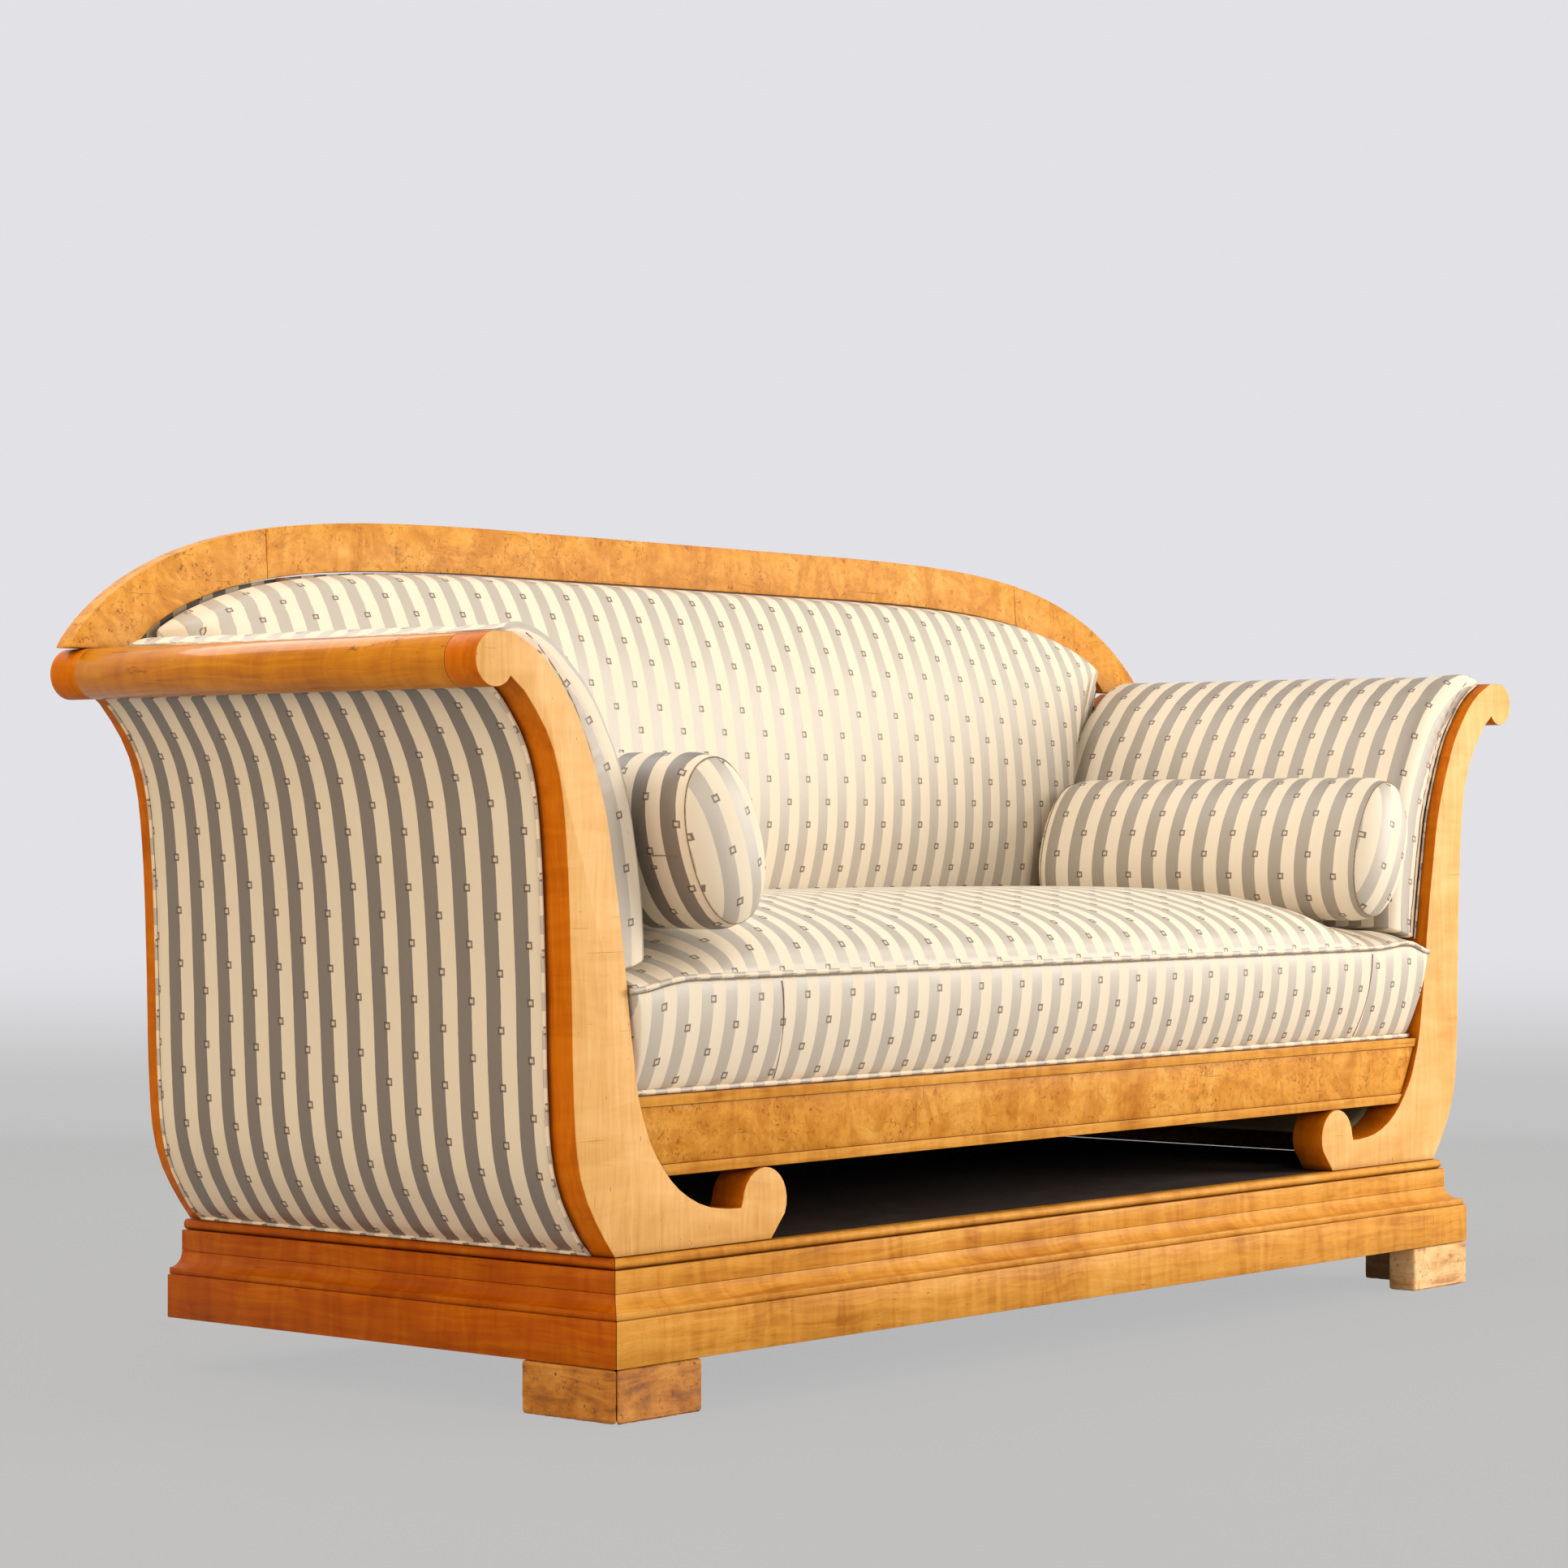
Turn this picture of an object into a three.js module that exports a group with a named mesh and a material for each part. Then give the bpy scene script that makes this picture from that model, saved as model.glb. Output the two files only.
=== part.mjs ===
// Two-armed sofa with scrolled arms, an arched crest rail and a moulded plinth.
// Millimetres, +Z up, +X along the seat, +Y towards the back.
// The origin lies on the floor under the middle of the whole object's box.
import * as THREE from "three";

// Overall plinth
const plinthLength = 1794;
const plinthDepth = 736;
const footHeight = 60;
const boardHeight = 52;
const plinthWall = 45;
const rearBoardThickness = 30;
const deckThickness = 12;

// Mouldings on the plinth, each inset measured in from the board's face
const filletHeight = 8;
const filletInset = 3.5;
const coveHeight = 18.7;
const friezeHeight = 25.3;
const friezeInset = 23;
const beadHeight = 12.8;
const beadInset = 26;
const beadBulge = 5;

// Feet: mitred angle blocks in front, plain blocks set in at the back
const footThickness = 43;
const frontLegLength = 142;
const sideLegLength = 144;
const rearFootLength = 140;
const rearFootDepth = 60;
const rearFootSetIn = 368;

// Scrolled arm boards
const scrollFrontInset = 34;
const scrollRearInset = 1.7;
const frontScrollThickness = 48;
const rearScrollThickness = 45.4;
const scrollRise = 653.9;
const scrollFootSetIn = 34.6;
const scrollReach = 188.2;
const rollRadius = 29.9;
const hookReach = 254.4;
const hookCentreRise = 45;
const hookRadius = 39;
const hookHeelReach = 265.4;

// Arm structure
const armRailInset = 9;
const armRailHeight = 46;
const armRailWidth = 60;
const armPanelThickness = 7;
const armPanelCrown = 5;
const armPanelBridge = 14.5;
const armPanelFrontOverlap = 13;
const armPanelRearOverlap = 18.5;
const armLiningThickness = 4;
const armPadThickness = 74;
const armPadSetBack = 19.5;
const armPadRearGap = 21;

// Seat box and seat
const seatBoxBottom = 261;
const lowerStripHeight = 13;
const apronHeight = 65.5;
const upperStripHeight = 11.9;
const apronThickness = 22;
const apronSetBack = 6.5;
const stripProud = 2.5;
const sideRailWidth = 45;
const slotBoardThickness = 10;
const slatWidth = 90;
const slatThickness = 14;
const slatOverlap = 28;
const ledgeDepth = 20;
const ledgeHeight = 24;
const slatCount = 3;
const seatEdgeHeight = 482;
const seatCrown = 86;
const seatOverhang = 6.4;
const seatFootSetIn = 21;
const seatBoxingBulge = 12.5;
const seatSettle = 17;
const seatEndWidth = 250;
const bolsterHollowDepth = 30;
const bolsterHollowReach = 105;

// Back
const crestEndOverrun = 0.5;
const crestRise = 179.6;
const crestTipSetIn = 99.4;
const crestLowerRise = 118.5;
const crestThickness = 24;
const crestSetIn = 37;
const crestEndLength = 317;
const backPadThickness = 92;
const backPadSetBack = 13;
const backPadTopGap = 2;
const backCornerSetIn = 18;
const backLiningThickness = 4;
const backStileWidth = 60;
const backStileThickness = 17;
const backStileSetIn = 74;
const backPanelThickness = 6;
const backPanelSetIn = 22;

// Bolsters
const bolsterRearGap = 31.4;
const bolsterWidth = 130;
const bolsterHeight = 208;
const bolsterDome = 25.7;
const leftBolsterSetIn = 139.4;
const rightBolsterSetIn = 160.4;
const leftBolsterOverhang = 38.4;
const rightBolsterOverhang = 10.4;
const bolsterLean = 0.37;

// Clearances
const jointGap = 0.3;
const panelGap = 0.5;
const softGap = 1.5;
const restGap = 1;

// Edge lines of the scroll, as shares of its reach (sideways) and its rise (up),
// counted from the outer foot corner to the centre of the roll
const outerEdgeShares = [
  [0, 0], [0.12, 0.045], [0.243, 0.102], [0.321, 0.173], [0.355, 0.292], [0.37, 0.447],
  [0.39, 0.6], [0.414, 0.7], [0.454, 0.79], [0.535, 0.862], [0.66, 0.915], [0.77, 0.951],
  [0.875, 0.973],
];
const innerEdgeShares = [
  [0.86, 1.0455], [0.673, 1.02], [0.536, 0.99], [0.409, 0.949], [0.306, 0.9086],
  [0.1985, 0.845], [0.1154, 0.785], [0.0567, 0.73], [0.0073, 0.655], [-0.042, 0.579],
  [-0.092, 0.484], [-0.134, 0.392], [-0.178, 0.312], [-0.208, 0.265], [-0.251, 0.23],
  [-0.325, 0.181], [-0.467, 0.129], [-0.61, 0.096], [-0.8, 0.0715], [-1.0, 0.0625],
  [-1.13, 0.061],
];
const outerSteps = 26;
const innerSteps = 44;
const discSteps = 20;
const hookSteps = 14;
const notchAngle = THREE.MathUtils.degToRad(219);
const discTopAngle = THREE.MathUtils.degToRad(450);
const hookStartAngle = THREE.MathUtils.degToRad(5);
const hookEndAngle = THREE.MathUtils.degToRad(205);

// The arm pad covers the inner edge line between its bottom and the roll
const padThickestShare = 0.3;
const padEndPower = 2.2;
const padEndSoftness = 0.6;
const padFootShare = 0.14;
const padBorderShare = 0.6;
const padEdgePower = 30;

// The ends of the outer panel and of the lining along their edge lines
const panelFootShare = 0.04;
const panelTopShare = 0.99;
const bridgePower = 4;
const liningTopShare = 0.06;
const liningFootShare = 0.96;
const padSampleShare = 0.11;

// The crest rail's two bows: share of rise = (1 - (share of half length) ^ power) ^ softness
const bowPower = 5.5;
const topBowSoftness = 0.83;
const lowerBowSoftness = 0.755;
const crestLeanShare = 0.06;

// The seat's crown
const seatFrontPower = 3;
const seatFrontSoftness = 0.42;
const seatSidePower = 16;
const seatSummitShare = 0.53;
const seatRearDropShare = 0.22;
const boxingPower = 0.6;

// Where the back pad's foot looks for the seat's height, as shares of the seat's end width
const nearbyShares = [0, 0.0625, 0.125];

// The back pad's crown and border
const backBorderShare = 0.6;
const backSidePower = 30;

// The back pad's face from foot to crest: fullest low down, then rolling back
const backFullestShare = 0.3;
const backFootFallShare = 0.2;
const backFootPower = 2.4;
const backRollPower = 1.6;
const backCrestShare = 0.12;

// A bolster's end seam as a share of its size, and the length over which it reaches full size
const bolsterSeamShare = 0.93;
const bolsterShoulderShare = 0.1;

// Levels and planes worked out from the sizes above
const frontY = -plinthDepth / 2;
const rearY = plinthDepth / 2;
const boardTop = footHeight + boardHeight;
const coveTop = boardTop + filletHeight + coveHeight;
const friezeTop = coveTop + friezeHeight;
const baseTop = friezeTop + beadHeight;
const frontScrollY = frontY + scrollFrontInset;
const armFrontY = frontScrollY + frontScrollThickness;
const rearScrollY = rearY - scrollRearInset - rearScrollThickness;
const slotBoardY = rearScrollY - slotBoardThickness;
const scrollFootX = plinthLength / 2 - scrollFootSetIn;
const rollX = scrollFootX + scrollReach;
const rollZ = baseTop + scrollRise;
const rollTop = rollZ + rollRadius;
const hookCentreX = scrollFootX - hookReach;
const hookHeelX = scrollFootX - hookHeelReach;
const apronBottom = seatBoxBottom + lowerStripHeight;
const apronTop = apronBottom + apronHeight;
const seatBottom = apronTop + upperStripHeight;
const apronY = frontScrollY + apronSetBack;
const crestHalfLength = rollX + rollRadius + crestEndOverrun;
const crestTipX = crestHalfLength - crestTipSetIn;
const crestJointX = crestHalfLength - crestEndLength;
const crestBottom = rollTop + jointGap;
const crestY = rearY - crestSetIn;
const padBackY = crestY - backPadSetBack;
const backStileX = crestJointX - backStileSetIn;
const armPadFrontY = frontScrollY + armPadSetBack;
const armPadRearY = rearScrollY - armPadRearGap;
const bolsterPlaces = {
  left: { side: -1, x: scrollFootX - leftBolsterSetIn, frontY: frontScrollY - leftBolsterOverhang },
  right: { side: 1, x: scrollFootX - rightBolsterSetIn, frontY: frontScrollY - rightBolsterOverhang },
};
const bolsterRearY = padBackY - backPadThickness - bolsterRearGap;
const bolsterLength = bolsterRearY - bolsterPlaces.right.frontY;
const bolsterFronts = Object.values(bolsterPlaces).map((place) => place.frontY - bolsterDome);
const frontmostY = Math.min(frontY, ...bolsterFronts);
const originShiftY = -(frontmostY + rearY) / 2;

// Finishes
const finishes = {
  honeyWood: { color: 0xe0a050, roughness: 0.38 },
  sideWood: { color: 0xc07818, roughness: 0.35 },
  burlWood: { color: 0xe2a34c, roughness: 0.34 },
  footWood: { color: 0x9a6630, roughness: 0.7 },
  plainWood: { color: 0xb98a55, roughness: 0.75 },
  stripedCloth: { color: 0xe4d8c3, roughness: 0.92 },
  liningCloth: { color: 0x8c7a60, roughness: 0.98 },
};

const sofa = new THREE.Group();
sofa.position.y = originShiftY;

// Adds one named piece to the sofa
function addPiece(name, geometry, finish) {
  const material = new THREE.MeshStandardMaterial({ ...finishes[finish], metalness: 0 });
  const mesh = new THREE.Mesh(geometry, material);
  mesh.name = name;
  sofa.add(mesh);
  return mesh;
}

// Makes a closed geometry from points and triangles, with every face pointing out
function closedSolid(points, triangles) {
  let volume = 0;
  for (const [a, b, c] of triangles) {
    volume += points[a].dot(new THREE.Vector3().crossVectors(points[b], points[c]));
  }
  const index = [];
  for (const [a, b, c] of triangles) {
    index.push(...(volume > 0 ? [a, b, c] : [a, c, b]));
  }
  const geometry = new THREE.BufferGeometry();
  geometry.setFromPoints(points);
  geometry.setIndex(index);
  geometry.computeVertexNormals();
  return geometry;
}

// A solid between two outlines that hold the same corners in the same order
function prism(corners, placeStart, placeEnd) {
  const outline = THREE.ShapeUtils.isClockWise(corners) ? [...corners].reverse() : corners;
  const count = outline.length;
  const points = [...outline.map(placeStart), ...outline.map(placeEnd)];
  const triangles = [];
  for (let i = 0; i < count; i += 1) {
    const j = (i + 1) % count;
    triangles.push([i, j, count + j], [i, count + j, count + i]);
  }
  for (const [a, b, c] of THREE.ShapeUtils.triangulateShape(outline, [])) {
    triangles.push([a, c, b], [count + a, count + b, count + c]);
  }
  return closedSolid(points, triangles);
}

// A closed shell between a lower and an upper sheet, joined by a rim of rimRows rows
function shell(columns, rows, lower, upper, rimRows = 1, rimPush = null) {
  const points = [];
  const triangles = [];
  const sheetIndex = (base, i, j) => base + i * (rows + 1) + j;
  for (const sheet of [lower, upper]) {
    for (let i = 0; i <= columns; i += 1) {
      for (let j = 0; j <= rows; j += 1) {
        points.push(sheet(i / columns, j / rows));
      }
    }
  }
  const upperBase = (columns + 1) * (rows + 1);
  for (let i = 0; i < columns; i += 1) {
    for (let j = 0; j < rows; j += 1) {
      const low = [[i, j], [i + 1, j], [i + 1, j + 1], [i, j + 1]].map(([p, q]) => sheetIndex(0, p, q));
      const high = low.map((k) => k + upperBase);
      triangles.push([low[0], low[2], low[1]], [low[0], low[3], low[2]]);
      triangles.push([high[0], high[1], high[2]], [high[0], high[2], high[3]]);
    }
  }
  const border = [];
  for (let i = 0; i < columns; i += 1) {
    border.push([i, 0]);
  }
  for (let j = 0; j < rows; j += 1) {
    border.push([columns, j]);
  }
  for (let i = columns; i > 0; i -= 1) {
    border.push([i, rows]);
  }
  for (let j = rows; j > 0; j -= 1) {
    border.push([0, j]);
  }
  let previous = border.map(([i, j]) => sheetIndex(0, i, j));
  for (let row = 1; row <= rimRows; row += 1) {
    const share = row / rimRows;
    const current = border.map(([i, j]) => {
      if (row === rimRows) {
        return sheetIndex(upperBase, i, j);
      }
      const low = points[sheetIndex(0, i, j)];
      const high = points[sheetIndex(upperBase, i, j)];
      const point = low.clone().lerp(high, share);
      if (rimPush) {
        point.add(rimPush(i / columns, j / rows, share));
      }
      points.push(point);
      return points.length - 1;
    });
    for (let k = 0; k < border.length; k += 1) {
      const next = (k + 1) % border.length;
      triangles.push([previous[k], previous[next], current[next]]);
      triangles.push([previous[k], current[next], current[k]]);
    }
    previous = current;
  }
  return closedSolid(points, triangles);
}

// A box from its lowest to its highest corner
function block(lowX, highX, lowY, highY, lowZ, highZ) {
  const geometry = new THREE.BoxGeometry(highX - lowX, highY - lowY, highZ - lowZ);
  geometry.translate((lowX + highX) / 2, (lowY + highY) / 2, (lowZ + highZ) / 2);
  return geometry;
}

// An outline in X and Z, made solid from one Y plane to another
function boardInXZ(outline, lowY, highY) {
  const at = (y) => (p) => new THREE.Vector3(p.x, y, p.y);
  return prism(outline, at(lowY), at(highY));
}

// Turns a right-hand outline into the one for the given side
function onSide(outline, side) {
  return outline.map((p) => new THREE.Vector2(p.x * side, p.y));
}

// Spreads even steps so that they gather at both ends, from 0 to 1
function gathered(share) {
  return (1 - Math.cos(Math.PI * share)) / 2;
}

// A strip that runs along the front, mitred at both ends: the profile is (inset, height)
function frontStrip(profile) {
  const end = (side) => (p) => {
    return new THREE.Vector3(side * (plinthLength / 2 - p.x - jointGap), frontY + p.x, p.y);
  };
  return prism(profile, end(-1), end(1));
}

// A strip along one end of the plinth, mitred in front and cut square at the back
function sideStrip(profile, side) {
  const atX = (p) => side * (plinthLength / 2 - p.x);
  const front = (p) => new THREE.Vector3(atX(p), frontY + p.x + jointGap, p.y);
  const rear = (p) => new THREE.Vector3(atX(p), rearY, p.y);
  return prism(profile, front, rear);
}

function rectangle(insetLow, insetHigh, bottom, top) {
  return [
    new THREE.Vector2(insetLow, bottom),
    new THREE.Vector2(insetHigh, bottom),
    new THREE.Vector2(insetHigh, top),
    new THREE.Vector2(insetLow, top),
  ];
}

// Upright fillet with a hollow quarter curve above it
function coveProfile() {
  const bottom = boardTop + jointGap;
  const curveBottom = boardTop + filletHeight;
  const top = coveTop - jointGap;
  const curveSteps = 7;
  const profile = [new THREE.Vector2(plinthWall, bottom), new THREE.Vector2(plinthWall, top)];
  for (let k = 0; k <= curveSteps; k += 1) {
    const angle = (Math.PI / 2) * (k / curveSteps);
    const inset = filletInset + (friezeInset - filletInset) * Math.cos(angle);
    const height = top - (top - curveBottom) * Math.sin(angle);
    profile.push(new THREE.Vector2(inset, height));
  }
  profile.push(new THREE.Vector2(filletInset, bottom));
  return profile;
}

// Half-round bead
function beadProfile() {
  const beadSteps = 8;
  const bottom = friezeTop;
  const top = baseTop - jointGap;
  const profile = [new THREE.Vector2(plinthWall, bottom), new THREE.Vector2(plinthWall, top)];
  for (let k = 0; k <= beadSteps; k += 1) {
    const angle = Math.PI * (k / beadSteps);
    const inset = beadInset + beadBulge - beadBulge * Math.sin(angle);
    const height = (top + bottom) / 2 + ((top - bottom) / 2) * Math.cos(angle);
    profile.push(new THREE.Vector2(inset, height));
  }
  return profile;
}

function addPlinth() {
  const strips = {
    plinth_board: [rectangle(0, plinthWall, footHeight, boardTop), "honeyWood", "sideWood"],
    cove_moulding: [coveProfile(), "honeyWood", "sideWood"],
    frieze_board: [rectangle(friezeInset, plinthWall, coveTop, friezeTop - jointGap),
      "honeyWood", "sideWood"],
    bead_moulding: [beadProfile(), "honeyWood", "sideWood"],
  };
  for (const [name, [profile, frontFinish, endFinish]] of Object.entries(strips)) {
    addPiece(`${name}_front`, frontStrip(profile), frontFinish);
    addPiece(`${name}_left`, sideStrip(profile, -1), endFinish);
    addPiece(`${name}_right`, sideStrip(profile, 1), endFinish);
  }
  const innerX = plinthLength / 2 - plinthWall - jointGap;
  const rearBoardY = rearY - rearBoardThickness;
  const top = baseTop - jointGap;
  addPiece("plinth_board_back", block(-innerX, innerX, rearBoardY, rearY, footHeight, top), "plainWood");
  const deckFrontY = frontY + plinthWall + jointGap;
  const deckRearY = rearBoardY - jointGap;
  const deck = block(-innerX, innerX, deckFrontY, deckRearY, top - deckThickness, top);
  addPiece("plinth_deck", deck, "plainWood");
}

// Angle feet in front are two mitred legs each, the rear feet are plain blocks
function addFeet() {
  const top = footHeight - jointGap;
  const profile = rectangle(0, footThickness, 0, top);
  const cornerX = plinthLength / 2;
  for (const [label, side] of [["left", -1], ["right", 1]]) {
    const mitreFront = (p) => new THREE.Vector3(side * (cornerX - p.x - jointGap), frontY + p.x, p.y);
    const frontEnd = (p) => new THREE.Vector3(side * (cornerX - frontLegLength), frontY + p.x, p.y);
    const mitreSide = (p) => new THREE.Vector3(side * (cornerX - p.x), frontY + p.x + jointGap, p.y);
    const sideEnd = (p) => new THREE.Vector3(side * (cornerX - p.x), frontY + sideLegLength, p.y);
    addPiece(`foot_${label}_front_leg`, prism(profile, mitreFront, frontEnd), "footWood");
    addPiece(`foot_${label}_side_leg`, prism(profile, mitreSide, sideEnd), "footWood");
    const outerX = cornerX - rearFootSetIn;
    const ends = [side * outerX, side * (outerX - rearFootLength)];
    const foot = block(Math.min(...ends), Math.max(...ends), rearY - rearFootDepth, rearY, 0, top);
    addPiece(`foot_${label}_rear`, foot, "footWood");
  }
}

// Points of an edge line at its real size
function edgePoint([reachShare, riseShare]) {
  return new THREE.Vector2(scrollFootX + reachShare * scrollReach, baseTop + riseShare * scrollRise);
}

const outerEdge = new THREE.SplineCurve(outerEdgeShares.map(edgePoint));
const innerEdge = new THREE.SplineCurve(innerEdgeShares.map(edgePoint));
const outerPoints = outerEdge.getSpacedPoints(outerSteps);
const innerPoints = innerEdge.getSpacedPoints(innerSteps);

// X at a height, on a line of points that runs from its highest point to its lowest
function lineXAt(line, z) {
  for (let k = 1; k < line.length; k += 1) {
    const [high, low] = [line[k - 1], line[k]];
    if (z <= high.y && z >= low.y && high.y > low.y) {
      return low.x + ((high.x - low.x) * (z - low.y)) / (high.y - low.y);
    }
  }
  return z > line[0].y ? line[0].x : line.at(-1).x;
}

const innerXAt = (z) => lineXAt(innerPoints, z);
const outerXAt = (z) => lineXAt([...outerPoints].reverse(), z);

function onCircle(x, z, radius, angle) {
  return new THREE.Vector2(x + radius * Math.cos(angle), z + radius * Math.sin(angle));
}

// The scroll board: outer edge, roll end, inner edge and the rolled hook at its foot
function scrollOutline() {
  const outline = outerPoints.map((p) => new THREE.Vector2(p.x, p.y));
  outline[0].y = baseTop + jointGap;
  for (let k = 1; k < discSteps; k += 1) {
    const angle = notchAngle + ((discTopAngle - notchAngle) * k) / discSteps;
    outline.push(onCircle(rollX, rollZ, rollRadius, angle));
  }
  outline.push(new THREE.Vector2(rollX, rollTop));
  outline.push(...innerPoints);
  const hookZ = baseTop + hookCentreRise;
  for (let k = 0; k <= hookSteps; k += 1) {
    const angle = hookStartAngle + ((hookEndAngle - hookStartAngle) * k) / hookSteps;
    outline.push(onCircle(hookCentreX, hookZ, hookRadius, angle));
  }
  outline.push(new THREE.Vector2(hookHeelX, baseTop + jointGap));
  return outline;
}

function addScrolls() {
  const outline = scrollOutline();
  for (const [label, side] of [["left", -1], ["right", 1]]) {
    const sided = onSide(outline, side);
    addPiece(`scroll_board_front_${label}`, boardInXZ(sided, frontScrollY, armFrontY), "honeyWood");
    const rearBoard = boardInXZ(sided, rearScrollY, rearScrollY + rearScrollThickness);
    addPiece(`scroll_board_back_${label}`, rearBoard, "honeyWood");
    const rollSides = 28;
    const length = rearScrollY - armFrontY - jointGap - jointGap;
    const roll = new THREE.CylinderGeometry(rollRadius, rollRadius, length, rollSides);
    roll.translate(side * rollX, (armFrontY + rearScrollY) / 2, rollZ);
    addPiece(`arm_roll_${label}`, roll, "sideWood");
  }
}

// The direction of a line of points at one of them, turned a quarter turn to its left
function normalAt(line, k) {
  const before = line[Math.max(k - 1, 0)];
  const after = line[Math.min(k + 1, line.length - 1)];
  const direction = after.clone().sub(before).normalize();
  return new THREE.Vector2(-direction.y, direction.x);
}

// A point on a line of points and its normal
function alongLine(line, share) {
  const place = share * (line.length - 1);
  const k = Math.min(Math.floor(place), line.length - 2);
  const point = line[k].clone().lerp(line[k + 1], place - k);
  const normal = normalAt(line, k).lerp(normalAt(line, k + 1), place - k).normalize();
  return { point, normal };
}

// A cross rail that fills the arm's thickness between two heights
function armRailOutline(lowZ) {
  const highZ = lowZ + armRailHeight;
  const innerAt = (z) => {
    return Math.max(innerXAt(z) + armRailInset, outerXAt(z) - armRailInset - armRailWidth);
  };
  return [
    new THREE.Vector2(innerAt(lowZ), lowZ),
    new THREE.Vector2(outerXAt(lowZ) - armRailInset, lowZ),
    new THREE.Vector2(outerXAt(highZ) - armRailInset, highZ),
    new THREE.Vector2(innerAt(highZ), highZ),
  ];
}

// The part of the inner edge line that the arm pad covers, from its foot up to the roll
function padLine(bottom) {
  const covered = innerPoints.filter((p) => p.y > bottom);
  covered.push(new THREE.Vector2(innerXAt(bottom), bottom));
  return covered.reverse();
}

function padThicknessAt(share) {
  if (share < padThickestShare) {
    return 1 - padFootShare * ((padThickestShare - share) / padThickestShare) ** 2;
  }
  const reach = (share - padThickestShare) / (1 - padThickestShare);
  return Math.max(1 - reach ** padEndPower, 0) ** padEndSoftness;
}

function edgeFall(share, power, borderShare) {
  const across = Math.abs(2 * share - 1);
  return borderShare + (1 - borderShare) * Math.sqrt(Math.max(1 - across ** power, 0));
}

const armPadBottom = seatEdgeHeight + softGap + softGap;
const armPadLine = padLine(armPadBottom);

// How far the back pad stands proud at a share of its height
function backProfile(up) {
  if (up < backFullestShare) {
    return 1 - backFootFallShare * ((backFullestShare - up) / backFullestShare) ** backFootPower;
  }
  const reach = (up - backFullestShare) / (1 - backFullestShare);
  return Math.max(Math.sqrt(Math.max(1 - reach ** backRollPower, 0)), backCrestShare);
}

function armPadPoint(side, share, across, proud) {
  const { point, normal } = alongLine(armPadLine, share);
  const y = armPadFrontY + (armPadRearY - armPadFrontY) * gathered(across);
  const fall = edgeFall(Math.min(gathered(across), 0.5), padEdgePower, padBorderShare);
  const rise = softGap + proud * armPadThickness * Math.max(padThicknessAt(share), padFootShare) * fall;
  return new THREE.Vector3(side * (point.x + normal.x * rise), y, point.y + normal.y * rise);
}

// A curved sheet that follows the outer or inner edge line between the two scroll boards.
// A padded one is crowned, and bridges the hollow near the line's start, under the roll
function armSheet(line, side, lowY, highY, near, thickness, crown, bridge) {
  const rows = crown > 0 ? 6 : 1;
  const sheet = (proud) => (share, across) => {
    const { point, normal } = alongLine(line, share);
    const bridged = bridge * Math.sin(Math.PI * (1 - share) ** bridgePower);
    const swell = (crown * Math.sin(Math.PI * share) + bridged) * Math.sin(Math.PI * across);
    const out = near + proud * (thickness + swell);
    const y = lowY + (highY - lowY) * across;
    return new THREE.Vector3(side * (point.x + normal.x * out), y, point.y + normal.y * out);
  };
  return shell(line.length - 1, rows, sheet(0), sheet(1));
}

function addArms() {
  const railLevels = { bottom: baseTop + armRailInset, top: rollZ - rollRadius - armRailHeight };
  const liningSteps = [liningTopShare, liningFootShare].map((share) => Math.round(innerSteps * share));
  const liningLine = innerPoints.slice(...liningSteps).reverse();
  const panelSteps = [panelFootShare, panelTopShare].map((share) => Math.round(outerSteps * share));
  const outerLine = outerPoints.slice(...panelSteps).reverse();
  const padColumns = armPadLine.length - 1;
  const padRows = 10;
  for (const [label, side] of [["left", -1], ["right", 1]]) {
    for (const [place, level] of Object.entries(railLevels)) {
      const outline = onSide(armRailOutline(level), side);
      const rail = boardInXZ(outline, armFrontY + jointGap, rearScrollY - jointGap);
      addPiece(`arm_rail_${place}_${label}`, rail, "plainWood");
    }
    const panel = armSheet(outerLine, side, armFrontY - armPanelFrontOverlap,
      rearScrollY + armPanelRearOverlap, panelGap, armPanelThickness, armPanelCrown, armPanelBridge);
    addPiece(`arm_panel_outer_${label}`, panel, "stripedCloth");
    const lining = armSheet(liningLine, side, armFrontY + jointGap, slotBoardY - jointGap,
      -restGap, -armLiningThickness, 0, 0);
    addPiece(`arm_lining_${label}`, lining, "liningCloth");
    const pad = shell(padColumns, padRows, (u, v) => armPadPoint(side, u, v, 0),
      (u, v) => armPadPoint(side, u, v, 1));
    addPiece(`arm_pad_${label}`, pad, "stripedCloth");
  }
}

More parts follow.
